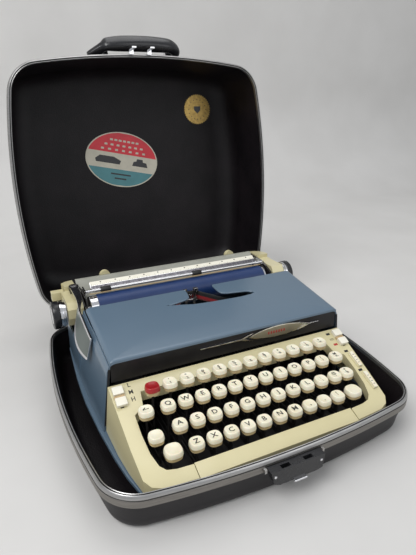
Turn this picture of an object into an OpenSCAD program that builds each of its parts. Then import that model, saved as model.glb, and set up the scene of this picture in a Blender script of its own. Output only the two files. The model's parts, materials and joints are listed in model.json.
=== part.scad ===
// Portable typewriter standing in its hard carrying case, with the lid open.
// Frame: +X is the typist's right, +Y points to the back, +Z is up.
// Origin: centre of the case's underside, on the ground. Millimetres.

/* [Case] */
// Inside width of the case at its rim
case_w = 381.5; // [378:0.5:390]
// Inside depth of the case at its rim
case_d = 353.4; // [350:0.5:362]
// How far each side bows out from its corners to its middle
side_bow = 14; // [10:0.5:16]
// How far the front and the back bow out
end_bow = 11; // [8:0.5:13]
// Corner radius of the case
corner_r = 40; // [34:1:46]
// Thickness of the case shells
wall = 3.2; // [2.6:0.1:3.6]
// Height of the rim's top above the ground
base_h = 50.2; // [49:0.1:52]
// Depth of the lid
lid_h = 112; // [108:1:120]
// Angle from closed to fully open
open_angle = 97.2; // [93:0.2:100]

/* [Keyboard] */
// Distance between neighbouring keys in a row
pitch = 19.05; // [18.8:0.01:19.3]
// Distance from one row to the next, towards the typist
row_step = 18.75; // [18.5:0.05:19]
// Drop from one row to the next
row_drop = 11.5; // [11:0.1:12]
// Height of the back row's key tops above the ground
top_row_z = 94.7; // [94:0.1:95.5]
// Width of a key cap
cap_w = 15.4; // [14.8:0.1:15.8]
// Height of a key cap
cap_h = 9; // [8:0.5:10]
// Thickness of a key lever
lever_t = 1.2; // [1:0.1:1.5]

/* [Carriage] */
// Height of the platen's axis above the ground
platen_z = 101; // [100:0.5:102]
// Distance of the platen's axis behind the middle of the case
platen_y = 103; // [102:0.5:104]
// Radius of the platen
platen_r = 17.5; // [16.5:0.5:18]
// Half the length of the platen
platen_half = 129; // [126:0.5:130]
// Half the distance over both platen knobs
knob_reach = 179; // [176:0.5:179.5]
// Radius of a platen knob
knob_r = 18; // [17:0.5:18.5]

/* [Type basket] */
// Number of type bars
typebars = 43; // [31:2:43]
// Distance from a type bar's pivot to the printing point
typebar_len = 58; // [56:0.5:59]
// Angle between two neighbouring type bars
typebar_step = 2.6; // [2.4:0.1:2.6]

/* [Hidden] */
eps = 0.01;
arc_steps = 6;                      // segments in each arc of the case outline
rim_out = wall + 1.4;               // how far the rims reach past the inner outline
hinge_y = case_d / 2 + rim_out + 1.9;
hinge_z = base_h + 0.15;
lid_gap = 0.3;                      // gap between the two rims when the lid is closed
knuckle_r = 2.3;
hinge_pin_r = 1.5;
hinge_x = 70;                       // distance of each case hinge from the middle
slope = atan(0.4184);               // slope of the key surround
deck_y = -157.5;                    // front corner line of the surround's top
deck_z = 43.3;
fulcrum_y = 75;                     // rod that every key lever turns on
fulcrum_z = 24;
fulcrum_r = 2;
run = 0.05;                         // radial clearance of a running fit
cover_slope = atan(11.9 / 99.7);    // slope of the ribbon cover
cover_y = -53.4;
cover_z = 115.3;
cover_pin_y = 43;
cover_pin_z = 118;
pan_z = 11;                         // top of the pan that the machine stands on
rail_top = 83.7;                    // top of the fixed carriage rail
segment_tilt = 15;                  // the type segment leans forward by this
handle_y = -case_d / 2 - rim_out - 6; // axis of the handle, with the lid closed
handle_z = base_h + 34;
handle_x = 46.5;                    // posts that the handle turns on
handle_tip = 50;                    // how far the handle is folded down as drawn
latch_pin_y = -case_d / 2 - rim_out - 2;
latch_pin_z = 42.5;
latch_pin_r = 0.9;
release_y = 144;                    // pin of the carriage release
release_z = 102;
release_pin_r = 1.5;
bail_pin_y = 128;                   // stubs that the paper bail turns on
bail_pin_z = 104;
bail_y = 108;                       // rod of the paper bail, with its rollers
bail_z = 123.4;
lever_x = -145;                     // post that the return lever turns on
lever_y = 127;
stop_rod_y = 157;                   // rod that guides the margin stops
stop_rod_z = 116;
post_x = 129;                       // guide posts of the type basket
selector_x = 141.6;                 // both selectors on the key surround
letter_rows = ["QWERTYUIOP", "ASDFGHJKL", "ZXCVBNM"];
row_x0 = [-91.2, -100.8, -96.0, -86.5];
letters = [for (row = letter_rows) for (c = row) c];

// ---------- helpers ----------

// Plate in the YZ plane, t thick and centred on x
module plate_yz(x, t) {
    translate([x - t / 2, 0, 0]) rotate([90, 0, 90]) linear_extrude(t) children();
}

// Rod along X between x0 and x1
module rod_x(x0, x1, y, z, r, fn = 32) {
    translate([x0, y, z]) rotate([0, 90, 0]) cylinder(h = x1 - x0, r = r, $fn = fn);
}

// Box between two corners
module span(a, b) {
    translate(a) cube(b - a);
}

function arc(c, r, a0, a1, n) =
    [for (i = [0 : n - 1]) c + r * [cos(a0 + (a1 - a0) * i / n), sin(a0 + (a1 - a0) * i / n)]];

// Case outline: four bowed sides joined by corner arcs that touch them
side_r = (pow(150, 2) + pow(side_bow, 2)) / (2 * side_bow);
end_r = (pow(150, 2) + pow(end_bow, 2)) / (2 * end_bow);
side_c = [case_w / 2 - side_r, 0];
end_c = [0, case_d / 2 - end_r];
gap_c = norm(end_c - side_c);
along = (pow(side_r - corner_r, 2) - pow(end_r - corner_r, 2) + pow(gap_c, 2)) / (2 * gap_c);
across = sqrt(pow(side_r - corner_r, 2) - pow(along, 2));
way = (end_c - side_c) / gap_c;
corner_c = side_c + along * way + across * [-way[1], way[0]];
side_end = atan2(corner_c[1] - side_c[1], corner_c[0] - side_c[0]);
end_start = atan2(corner_c[1] - end_c[1], corner_c[0] - end_c[0]);

function quarter(g) = concat(
    arc(side_c, side_r + g, 0, side_end, arc_steps),
    arc(corner_c, corner_r + g, side_end, end_start, arc_steps),
    arc(end_c, end_r + g, end_start, 90, arc_steps));

function flip(p, sx, sy) = [for (q = p) [q[0] * sx, q[1] * sy]];
function back(p) = [for (i = [len(p) - 1 : -1 : 0]) p[i]];

function outline(g) = let (
        q = quarter(g),
        top = [[0, case_d / 2 + g]],
        side = [for (i = [1 : len(q) - 1]) q[i]])
    concat(q, top, flip(back(side), -1, 1), flip(q, -1, -1),
           flip(top, 1, -1), flip(back(side), 1, -1));

// One closed skin through a list of loops with equal counts of points
module skin(loops) {
    n = len(loops[0]);
    m = len(loops);
    polyhedron(
        points = [for (l = loops) for (p = l) p],
        faces = concat(
            [[for (i = [0 : n - 1]) i]],
            [for (k = [0 : m - 2]) for (i = [0 : n - 1]) let (j = (i + 1) % n)
                each [[k * n + i, (k + 1) * n + i, (k + 1) * n + j],
                      [k * n + i, (k + 1) * n + j, k * n + j]]],
            [[for (i = [n - 1 : -1 : 0]) (m - 1) * n + i]]));
}

// The same, but the last loop joins the first, as in a ring
module ring_skin(loops) {
    n = len(loops[0]);
    m = len(loops);
    polyhedron(
        points = [for (l = loops) for (p = l) p],
        faces = [for (k = [0 : m - 1]) for (i = [0 : n - 1])
            let (j = (i + 1) % n, a = k * n, b = ((k + 1) % m) * n)
            each [[a + i, b + i, b + j], [a + i, b + j, a + j]]]);
}

// Loops of the case outline from a list of [height, growth]
function case_loops(steps) = [for (s = steps) [for (p = outline(s[1])) [p[0], p[1], s[0]]]];

// Places a lid piece, drawn closed, in the open position
module opened() {
    translate([0, hinge_y, hinge_z]) rotate([-open_angle, 0, 0])
        translate([0, -hinge_y, -hinge_z]) children();
}

// ---------- carrying case ----------

module case_base() {
    color([0.20, 0.19, 0.20]) skin(case_loops([
        [0, -13], [2.5, -8.5], [7, -5], [16, -3], [44.8, wall],
        [44.8, 0], [14, -5.5], [8, -8], [4.5, -14]]));
}

module case_base_rim() {
    color("silver") ring_skin(case_loops([
        [37, wall + 0.1], [37, rim_out - 0.2], [45, rim_out], [base_h, rim_out - 1.6],
        [base_h, -0.3], [45, -0.3], [45, wall + 0.1]]));
}

module case_hinges() {
    color("silver") for (s = [-1, 1]) translate([s * hinge_x, 0, 0]) {
        // pin that runs through the lid's middle knuckle
        rod_x(-14, 14, hinge_y, hinge_z, hinge_pin_r);
        for (x = [-14, 6.3]) {
            rod_x(x, x + 7.7, hinge_y, hinge_z, knuckle_r);
            span([x, case_d / 2 + 1, hinge_z - 4.5], [x + 7.7, hinge_y, hinge_z - 1.8]);
        }
    }
    // pin of the latch, in two lugs on the rim
    color("silver") {
        rod_x(-38, 30, latch_pin_y, latch_pin_z, latch_pin_r);
        for (x = [-38.5, 28]) span([x, latch_pin_y - 2, latch_pin_z - 2],
                                   [x + 2.5, -case_d / 2 - rim_out + 0.8, latch_pin_z + 2]);
    }
}

module case_latch() {
    front = -case_d / 2 - rim_out - 0.5;
    color([0.12, 0.12, 0.13]) difference() {
        translate([0, front, 0]) rotate([90, 0, 0]) linear_extrude(9)
            polygon([[-35, 44.6], [27, 44.6], [26, 28], [20, 26], [-24, 26], [-30, 29]]);
        // two pockets, open at the top, that take the lid's hooks
        for (x = [-22, 4]) span([x, front - 7.6, 34], [x + 10, front - 3, 50]);
        rod_x(-40, 32, latch_pin_y, latch_pin_z, latch_pin_r + run);
    }
    // lip for the finger
    color("silver") span([-8, front - 11, 24.3], [6, front - 1, 26]);
}

module case_lid() {
    color([0.13, 0.12, 0.12]) opened() translate([0, 0, base_h + lid_gap + lid_h])
        mirror([0, 0, 1]) skin(case_loops([
            [0, -34], [6, -14], [17, -3], [34, wall - 1], [lid_h - 5.3, wall],
            [lid_h - 5.3, 0], [34, -1], [19, -6], [8.5, -16], [3.6, -36]]));
}

module case_lid_rim() {
    lid_z = base_h + lid_gap;
    color("silver") opened() {
        ring_skin(case_loops([
            [lid_z, -0.3], [lid_z, rim_out - 1.6], [lid_z + 5.2, rim_out],
            [lid_z + 13.2, rim_out - 0.2], [lid_z + 13.2, wall + 0.1], [lid_z + 5.2, wall + 0.1],
            [lid_z + 5.2, -0.3]]));
        // middle knuckles with their leaves
        for (s = [-1, 1]) translate([s * hinge_x, 0, 0]) difference() {
            union() {
                rod_x(-6, 6, hinge_y, hinge_z, knuckle_r);
                span([-6, case_d / 2 - 0.6, hinge_z + 0.9], [6, hinge_y, hinge_z + 3.2]);
            }
            rod_x(-7, 7, hinge_y, hinge_z, hinge_pin_r + run);
        }
        // hooks that drop into the latch
        for (x = [-20, 6]) {
            span([x, -case_d / 2 - rim_out - 6.8, 38], [x + 6, -case_d / 2 - rim_out - 5, 54]);
            span([x, -case_d / 2 - rim_out - 5.1, 52], [x + 6, -case_d / 2 - 4, 54]);
        }
        // posts with the stubs that the handle turns on
        for (s = [-1, 1]) {
            span([s * handle_x - 3.5, -case_d / 2 - rim_out - 8.2, handle_z - 6],
                 [s * handle_x + 3.5, -case_d / 2 - 2, handle_z + 6]);
            rod_x(s > 0 ? 49 : -58, s > 0 ? 58 : -49, handle_y, handle_z, 2);
        }
    }
}

// Folds the handle, drawn standing out from the closed case's front, towards the base
module tipped() {
    translate([0, handle_y, handle_z]) rotate([handle_tip, 0, 0])
        translate([0, -handle_y, -handle_z]) children();
}

module case_handle() {
    front = -case_d / 2 - rim_out;
    foot_r = 5.2;
    grip = 11; // half the height of the grip
    color([0.12, 0.12, 0.13]) opened() tipped() difference() {
        intersection() {
            // from the side: round feet that widen into the grip
            plate_yz(0, 150) {
                translate([handle_y, handle_z]) circle(r = foot_r, $fn = 32);
                polygon([[handle_y, handle_z - foot_r], [handle_y - 9, handle_z - grip],
                         [handle_y - 22, handle_z - grip], [handle_y - 27, handle_z - 7],
                         [handle_y - 27, handle_z + 7], [handle_y - 22, handle_z + grip],
                         [handle_y - 9, handle_z + grip], [handle_y, handle_z + foot_r]]);
            }
            translate([0, 0, handle_z - grip]) linear_extrude(2 * grip)
                polygon([[-72, front], [-44, front - 25], [-20, front - 30], [20, front - 31],
                         [52, front - 28], [66, front - 20], [68, front - 10], [62, front],
                         [50.5, front], [50.5, front - 13], [-50.5, front - 13],
                         [-50.5, front]]);
        }
        rod_x(-80, 80, handle_y, handle_z, 2 + run);
    }
}

// ---------- typewriter frame and body ----------

module side_frame(x) {
    plate_yz(x, 2) polygon([[-60, pan_z], [130, pan_z], [133, rail_top], [113, rail_top],
                            [108, 77], [58, 74], [47, 121], [36, 121], [30, 74], [-56, 60]]);
}

module chassis() {
    color([0.10, 0.10, 0.11]) {
        for (x = [-135, 135]) side_frame(x);
        pan_wall();
        rod_x(-135, 135, fulcrum_y, fulcrum_z, fulcrum_r);
        // fixed rail that carries the carriage
        span([-134, 113, 76], [134, 130, rail_top]);
        for (s = [-1, 1]) {
            translate([s * post_x, fulcrum_y - 1, pan_z]) cylinder(h = 66, r = 2.5, $fn = 32);
            // stub that the ribbon cover turns on
            rod_x(s > 0 ? 136 : -141, s > 0 ? 141 : -136, cover_pin_y, cover_pin_z, 2);
            // feet
            for (y = [-128, 112]) translate([s * 118, y, 4.9])
                cylinder(h = pan_z - 6.9, r = 9, $fn = 32);
        }
    }
}

// Stations round the right half of the body: top x, y, z, then the wall's foot x, y, then the
// edge of the ledge that runs round the foot
body_half = [
    [50, -167, 31.2, 50.2, -167.4, 51, -168.3], [95, -166.5, 31.2, 95.2, -166.9, 96.5, -167.8],
    [128, -162.4, 31.2, 128.4, -162.8, 130, -164], [140, -157.2, 31.2, 140.4, -157.6, 142, -158.8],
    [144.6, -148.4, 31.2, 145, -148.6, 147, -149.4], [149.8, -124, 31.2, 150.2, -124, 153.2, -124],
    [153, -96, 31.2, 153.4, -96, 157.4, -96], [155.6, -53.4, 31.2, 156, -53.4, 161.4, -53.4],
    [147.7, -53, 112.3, 157.6, -53, 161.5, -53], [148.05, 2.5, 119, 159.9, 2.5, 164.6, 2.5],
    [148.4, 58, 125.7, 160, 58, 163.7, 58], [157.6, 58.4, 76, 160.1, 58.4, 163.8, 58.4],
    [157.5, 134, 76, 157.8, 134.6, 158.6, 136], [150, 144, 76, 150.3, 144.6, 151.5, 147],
    [60, 146, 76, 60.1, 146.5, 61, 149]];
shell_t = 2.2;
lip_t = 1.2;                        // thickness of the body's front lip
foot_z = 30.6;
ledge_z = 30.2;                     // top of the ledge
body_low_z = 27.5;

// A point moved towards the middle of the body
function inwards(p, t, front_t) =
    [abs(p[0]) > 120 ? p[0] - sign(p[0]) * t : p[0],
     p[1] < -150 ? p[1] + front_t : p[1] > 140 ? p[1] - t : p[1], p[2]];

function body_loop(right, t = 0, front_t = 0) =
    [for (p = concat(right, back([for (q = right) [-q[0], q[1], q[2]]]))) inwards(p, t, front_t)];

function body_foot(z) = [for (s = body_half) [s[3], s[4], z]];

module body_shell() {
    top = [for (s = body_half) [s[0], s[1], s[2]]];
    color([0.36, 0.45, 0.53])
        ring_skin([body_loop([for (s = body_half) [s[5], s[6], body_low_z]]),
                   body_loop([for (s = body_half) [s[5], s[6], ledge_z]]),
                   body_loop(body_foot(foot_z)), body_loop(top), body_loop(top, shell_t, lip_t),
                   body_loop(body_foot(body_low_z), shell_t, lip_t)]);
}

// Black wall of the pan, which the body stands on
module pan_wall() {
    low = body_foot(pan_z - 2);
    ring_skin([body_loop(low, 6, 6), body_loop(body_foot(body_low_z)),
               body_loop(body_foot(body_low_z), 2, lip_t), body_loop(low, 8, 7.2)]);
    translate([0, 0, pan_z - 2]) linear_extrude(2)
        polygon([for (p = body_loop(low, 6.5, 6.5)) [p[0], p[1]]]);
}

// Places a part drawn flat on the slope of the ribbon cover's top
module on_cover() {
    translate([0, cover_y, cover_z]) rotate([cover_slope, 0, 0]) children();
}

module ribbon_cover() {
    depth = 106;
    color([0.40, 0.49, 0.57]) difference() {
        union() {
            on_cover() {
                translate([0, 0, -2.4]) linear_extrude(2.4)
                    polygon([[-145.5, 0], [145.5, 0], [147.4, 1.5], [148, 92], [145.6, 94],
                             [145.6, depth], [-145.6, depth], [-145.6, 94], [-148, 92],
                             [-147.4, 1.5]]);
                // lip that stiffens the plate's front edge
                translate([-145.2, 0, -3.6]) cube([290.4, 2.2, 1.4]);
            }
            for (s = [-1, 1]) plate_yz(s * 138.6, 2)
                polygon([[36, 113], [50, 113], [50, 125.5], [36, 123.8]]);
        }
        on_cover() translate([0, 0, -6]) linear_extrude(10)
            polygon([[-54, 78], [-20, 70], [20, 67], [45, 66], [65, 68.5], [58, 77], [24, 82],
                     [22, 110], [-18, 110], [-20, 86]]);
        rod_x(-145, 145, cover_pin_y, cover_pin_z, 2 + run);
    }
}

module front_panel() {
    color([0.07, 0.07, 0.08]) span([-144.9, -52.8, 89.2], [144.9, -50.8, 111.2]);
    // medallion with a thin arrow on both sides
    color("silver") {
        translate([59, -52.7, 103.4]) rotate([90, 0, 0]) linear_extrude(1)
            scale([1, 0.185]) circle(r = 40, $fn = 64);
        span([-44, -53.5, 103.3], [21, -52.7, 104.3]);
    }
}

// Places a part on the slope of the key surround
module on_deck() {
    translate([0, deck_y, deck_z]) rotate([slope, 0, 0]) children();
}

// Half outline of the surround, top [x, y] with its height on the slope, then bottom [x, y]
surround_half = [[60, -164.6, 63, -167.2], [100, -163.2, 104, -166], [129, -161.4, 132.6, -163],
                 [139.6, -157.4, 140.8, -158.4], [145.2, -149.8, 145.4, -150.8],
                 [147.2, -122, 150.6, -122.5], [148.2, -95, 153.5, -95.6],
                 [149.6, -54.4, 155.2, -54.4]];
function deck_at(y) = deck_z + (y - deck_y) * tan(slope);
function surround_loop(top, t) = let (
        right = [for (s = surround_half) top ? [s[0] - (s[0] > 120 ? t : 0), s[1] + t, deck_at(s[1]) - t]
                                             : [s[2] - (s[2] > 120 ? t : 0), s[3] + t, 32]])
    concat(right, back([for (p = right) [-p[0], p[1], p[2]]]));

module surround_raw(t) {
    skin([surround_loop(false, t), surround_loop(true, t)]);
}

module keyboard_surround() {
    // right half of the key well's edge, from the front to the back
    well_half = [[95, -150.5], [112, -149.6], [121.5, -147.6], [126.8, -142.5], [130.8, -130],
                 [132.6, -111], [132.6, -90.5], [121.5, -83], [119, -68]];
    well = concat(well_half, back(flip(well_half, -1, 1)));
    well_mid_y = -109;
    collar = [for (p = well) [p[0] * 1.018, (p[1] - well_mid_y) * 1.04 + well_mid_y]];
    color([0.81, 0.79, 0.62]) difference() {
        union() {
            // hollow underneath, open at the bottom and the back
            difference() {
                surround_raw(0);
                translate([0, 0, -eps]) surround_raw(3);
            }
            // collar that hangs down round the key well
            intersection() {
                translate([0, 0, 20]) linear_extrude(90) polygon(collar);
                on_deck() translate([-140, -4, -11]) cube([280, 112, 9.5]);
            }
        }
        span([-141, -58, 30], [141, -40, 83]);
        // key well
        translate([0, 0, 20]) linear_extrude(90) polygon(well);
        // gap for the space bar
        span([-95.3, -175, 20], [95.3, -135, 70]);
        // slots of the two selectors
        for (s = [-1, 1]) on_deck()
            translate([s * selector_x - 2, 84, -6]) cube([4, 26, 10]);
    }
}

// ---------- carriage ----------

module end_plate_2d() {
    polygon([[92, 84.6], [160, 84.6], [163, 108], [156, 121], [116, 121], [90, 112]]);
}

module carriage_frame() {
    color([0.62, 0.63, 0.65]) {
        span([-141.5, 114.5, 84.2], [141.5, 130, 86.8]);
        span([-141.5, 156, 84.6], [141.5, 160, 92]);
        difference() {
            for (x = [-140, 140]) plate_yz(x, 3) end_plate_2d();
            rod_x(-150, 150, platen_y, platen_z, 4 + run);
        }
        // stubs that the paper bail turns on
        rod_x(-138.6, -133, bail_pin_y, bail_pin_z, 2);
        rod_x(133, 138.6, bail_pin_y, bail_pin_z, 2);
        // post that the return lever turns on
        span([-150.5, 121, 119], [-139, 133, 122]);
        translate([lever_x, lever_y, 122]) cylinder(h = 5.6, r = 3, $fn = 32);
        // rod that guides the margin stops
        rod_x(-138.6, 138.6, stop_rod_y, stop_rod_z, 2);
    }
}

module carriage_end_caps() {
    // pin that the carriage release turns on
    color("silver") rod_x(-160.4, -155.5, release_y, release_z, release_pin_r);
    color([0.81, 0.79, 0.62]) for (s = [-1, 1]) difference() {
        intersection() {
            translate([s > 0 ? 141.5 : -161, 0, 0]) rotate([90, 0, 90]) linear_extrude(19.5)
                polygon([[86, 100], [92, 88], [164, 88], [166, 112], [160, 121.5],
                         [134, 124], [134, 118.5], [120, 118.5], [92, 120], [86, 112]]);
            // from above: the rear outer corner is cut back, to clear the case's lid
            linear_extrude(130) polygon(flip(
                [[141.5, 80], [161, 80], [161, 146], [157, 153], [151, 158], [141.5, 161]], s, 1));
        }
        rod_x(s > 0 ? 140 : -165, s > 0 ? 165 : -140, platen_y, platen_z, 4.6);
        if (s < 0) {
            span([-151, 120, 117], [-138, 134.1, 130]);
            // room for the release lever
            span([-165, 133, 97], [-156, 152, 130]);
        }
    }
}

module platen() {
    color([0.13, 0.24, 0.47]) difference() {
        rod_x(-platen_half, platen_half, platen_y, platen_z, platen_r, 64);
        rod_x(-140, 140, platen_y, platen_z, 4.02);
    }
    color("silver") for (x = [-131, platen_half]) difference() {
        rod_x(x, x + 2, platen_y, platen_z, platen_r - 0.5, 64);
        rod_x(-140, 140, platen_y, platen_z, 4.02);
    }
}

module platen_knobs() {
    color([0.08, 0.08, 0.09]) {
        rod_x(-knob_reach, knob_reach, platen_y, platen_z, 4);
        for (s = [-1, 1]) {
            rod_x(s > 0 ? knob_reach - 9 : -knob_reach, s > 0 ? knob_reach : -knob_reach + 9,
                  platen_y, platen_z, knob_r, 48);
            rod_x(s > 0 ? 162.2 : -knob_reach + 9, s > 0 ? knob_reach - 9 : -162.2,
                  platen_y, platen_z, knob_r - 1.4, 48);
        }
    }
}

module paper_table() {
    color([0.80, 0.80, 0.74]) {
        plate_yz(0, 277) polygon([[126, 91], [127.6, 90], [150.6, 123.6], [149, 124.6]]);
        plate_yz(0, 277) polygon([[149, 124.6], [150.6, 123.6], [154, 123.6], [154, 124.8]]);
    }
}

module paper_bail() {
    color([0.75, 0.76, 0.78]) {
        rod_x(-134.4, 134.4, bail_y, bail_z, 1.8);
        // line scale, tilted towards the typist
        plate_yz(0, 251) polygon([[111.7, 123.6], [112.6, 122.5], [122.4, 128.5], [121.6, 129.6]]);
        for (x = [-126, 125]) span([x, 107.6, 123], [x + 1, 115, 124.6]);
        for (s = [-1, 1]) difference() {
            plate_yz(s * 134.4, 1.6)
                polygon([[125, 100], [131.5, 101], [131.5, 107], [122, 125.6], [106, 125.6],
                         [106, 121.2], [118, 116]]);
            rod_x(-138, 138, bail_pin_y, bail_pin_z, 2 + run);
        }
    }
    color([0.06, 0.06, 0.07]) for (x = [-113.5, 18.5]) difference() {
        rod_x(x, x + 13, bail_y, bail_z, 3.4);
        rod_x(x - 1, x + 14, bail_y, bail_z, 1.85);
    }
}

// Stations along the return lever, from its boss to its tip: y, then the upper edge's outer x,
// inner x and z, then the lower edge's outer x, inner x and z
lever_path = [
    [122, -151, -141.6, 127.2, -151, -141.6, 124.6], [100, -150, -142, 127, -150, -142, 124.4],
    [84, -149.8, -143, 126.2, -150.2, -143.4, 122.6],
    [73, -151.6, -147.4, 123.4, -154.2, -151.2, 113], [62, -152.5, -150.6, 120.8, -159.8, -158, 101],
    [50, -152.5, -150.8, 119.2, -162.6, -160.9, 92.5], [38, -152.5, -150.8, 117.4, -163.4, -161.7, 87.8],
    [18, -152.5, -150.8, 115, -162.4, -160.7, 87], [2, -152.6, -150.9, 114.4, -159.2, -157.5, 88]];

module return_lever() {
    color([0.70, 0.71, 0.72]) {
        difference() {
            union() {
                translate([lever_x, lever_y, 124.6]) cylinder(h = 2.6, r = 6.5, $fn = 32);
                span([-151, 121.9, 124.6], [-141.6, 125, 127.2]);
            }
            translate([lever_x, lever_y, 120]) cylinder(h = 12, r = 3 + run, $fn = 32);
        }
        skin([for (s = lever_path) [[s[4], s[0], s[6]], [s[5], s[0], s[6]],
                                    [s[2], s[0], s[3]], [s[1], s[0], s[3]]]]);
    }
}

module margin_stop(x) {
    color([0.84, 0.80, 0.64]) difference() {
        union() {
            translate([x, 153.6, 122.8]) rotate([-90, 0, 0]) cylinder(h = 6, r = 7.4, $fn = 32);
            span([x - 5, 155, 112], [x + 5, 159.6, 123]);
        }
        rod_x(x - 8, x + 8, stop_rod_y, stop_rod_z, 2 + run);
        span([x - 9, 150, 112], [x + 9, 154.9, 125.2]);
    }
}

module margin_stop_left() { margin_stop(-96); }
module margin_stop_right() { margin_stop(103); }

module carriage_release() {
    color([0.84, 0.80, 0.64]) difference() {
        union() {
            plate_yz(-158.6, 3) polygon([[137, 98.5], [149.5, 98.5], [149.5, 105], [146, 117],
                                         [136, 117]]);
            span([-173, 136, 105.5], [-157.1, 146, 117]);
        }
        rod_x(-162, -150, release_y, release_z, release_pin_r + run);
    }
}

// ---------- type basket and ribbon ----------

// Places a part in the plane of the type segment, with the printing point at its origin:
// X stays X, Y points up in the plane, Z points to the typist
module in_segment() {
    translate([0, platen_y - platen_r - 0.6, platen_z]) rotate([90 - segment_tilt, 0, 0])
        children();
}

module typebar() {
    bar_t = 1.1;
    translate([-bar_t / 2, -typebar_len - 2, 5.3]) cube([bar_t, 4, 50]);
    translate([-1.15, -typebar_len - 1.6, 55.3]) cube([2.3, 8, 5]);
}

module type_basket() {
    half_fan = (typebars - 1) / 2;
    color([0.55, 0.56, 0.58]) difference() {
        union() {
            // curved segment that the type bars are pinned in
            in_segment() translate([0, 0, -5]) linear_extrude(10) intersection() {
                difference() {
                    circle(r = typebar_len + 9, $fn = 96);
                    circle(r = typebar_len - 4, $fn = 96);
                }
                translate([-90, -100]) square([180, 72]);
            }
            // arms out to the guide posts
            for (s = [-1, 1]) span([s > 0 ? 46 : -133.5, fulcrum_y - 5.5, 62],
                                   [s > 0 ? 133.5 : -46, fulcrum_y + 3.5, 71]);
        }
        for (s = [-1, 1]) translate([s * post_x, fulcrum_y - 1, 60])
            cylinder(h = 20, r = 2.5 + run, $fn = 32);
    }
    color([0.62, 0.62, 0.64]) in_segment() for (i = [-half_fan : half_fan])
        rotate([0, 0, i * typebar_step]) typebar();
    // type guide: a forked post in front of the platen
    color("silver") {
        for (s = [-1, 1]) span([s * 6 - 1.5, 73.5, 64], [s * 6 + 1.5, 76, 117]);
        span([-7.5, 71, 58], [7.5, 76, 64.1]);
        span([-4, 70.5, 42], [4, 75, 58.1]);
    }
}

spool_x = 92;
spool_y = 4;

module ribbon_spools() {
    color([0.25, 0.25, 0.27]) for (s = [-1, 1]) translate([s * spool_x, spool_y, 84]) {
        cylinder(h = 1.2, r = 27, $fn = 48);
        translate([0, 0, 15.2]) cylinder(h = 1.2, r = 27, $fn = 48);
        cylinder(h = 16, r = 8, $fn = 32);
        translate([0, 0, -40]) cylinder(h = 40.5, r = 3, $fn = 32);
    }
    // plate that both spool shafts stand on
    color([0.10, 0.10, 0.11]) for (s = [-1, 1])
        span([s * 113 - 21, -20, 41], [s * 113 + 21, 28, 44.1]);
}

// Stations of the ribbon from the roll up to the type guide: x, y and its lower edge's z
ribbon_path = [[76.5, 17, 85.4], [69.5, 25, 85.6], [62, 33, 88.5], [9, 78.6, 98.5]];

module ribbon() {
    h = 13;
    ribbon_t = 0.4;
    color([0.55, 0.06, 0.08]) {
        // rolls on the spools
        for (s = [-1, 1]) translate([s * spool_x, spool_y, 85.4]) difference() {
            cylinder(h = h, r = 20, $fn = 48);
            translate([0, 0, -1]) cylinder(h = h + 2, r = 8.05, $fn = 32);
        }
        // run from one roll to the other
        skin([for (q = concat(ribbon_path, back([for (p = ribbon_path) [-p[0], p[1], p[2]]])))
            [[q[0], q[1], q[2]], [q[0], q[1], q[2] + h],
             [q[0], q[1] + 2 * ribbon_t, q[2] + h], [q[0], q[1] + 2 * ribbon_t, q[2]]]]);
    }
}

// ---------- controls on the surround ----------

module selector(s) {
    color([0.90, 0.88, 0.80]) on_deck() {
        translate([s * selector_x - 5.5, 85, 0.3]) difference() {
            cube([11, 22.6, 4.2]);
            translate([-1, 9.4, 1.8]) cube([13, 3.8, 4]);
        }
        translate([s * selector_x - 1.6, 93, -8]) cube([3.2, 6.6, 8.4]);
    }
}

module touch_selector() { selector(-1); }
module ribbon_selector() { selector(1); }

// ---------- keys ----------

function row_y(r) = -81.3 - row_step * r;
function row_top(r) = top_row_z - row_drop * r;

// Lever from the fulcrum rod to a stem under the cap
module key_lever(x, r) {
    y = row_y(r);
    stem_top = row_top(r) - cap_h - 0.1;
    color([0.20, 0.20, 0.22]) plate_yz(x, lever_t) difference() {
        union() {
            translate([fulcrum_y, fulcrum_z]) circle(r = 4, $fn = 24);
            polygon([[fulcrum_y, fulcrum_z - 3.4], [y + 6, 31], [y - 2.4, 33.5],
                     [y - 2.4, stem_top], [y + 2.4, stem_top], [y + 2.4, 39],
                     [y + 7, 37.4], [fulcrum_y, fulcrum_z + 3.4]]);
        }
        translate([fulcrum_y, fulcrum_z]) circle(r = fulcrum_r + run, $fn = 24);
    }
}

module cap(x, r, w = cap_w) {
    translate([x, row_y(r), row_top(r) - cap_h]) intersection() {
        cylinder(h = cap_h, r1 = w * 0.58, r2 = w * 0.54, $fn = 32);
        translate([-w / 2, -w / 2, 0]) cube([w, w, cap_h]);
    }
}

// A key: its cap and the lever that carries it, which may stand aside of the cap's middle
module key(x, r, aside = 0, w = cap_w, tint = [0.92, 0.90, 0.82]) {
    color(tint) cap(x, r, w);
    key_lever(x + aside, r);
}

// Column of a letter in its row, and the row, counted from the back row of figures
function place(c) = let (
        found = [for (r = [0 : 2]) for (k = search(c, letter_rows[r])) [k, r + 1]])
    found[0];

module letter_key(c) {
    p = place(c);
    key(row_x0[p[1]] + pitch * p[0], p[1]);
}

module figure_keys() {
    for (k = [0 : 10]) key(row_x0[0] + pitch * k, 0);
    key(row_x0[1] + pitch * 10, 1);
    for (k = [9, 10]) key(row_x0[2] + pitch * k, 2);
    for (k = [7, 8, 9]) key(row_x0[3] + pitch * k, 3);
}

module shift_keys() {
    key(-110.7, 3, -3.8, 18.4);
    key(106.8, 3, -2.3, 18.4);
    // the lock key stands between two rows
    key(-122.1, 2.2, 3.1);
    // shaft between both shift levers, below all the other levers
    color([0.20, 0.20, 0.22]) {
        rod_x(-113.6, 103.6, 52, 15.8, 1.6);
        for (x = [-114.5, 104.5]) plate_yz(x, lever_t)
            polygon([[48, 15], [56, 15], [58, 23], [46, 23]]);
    }
}

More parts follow.
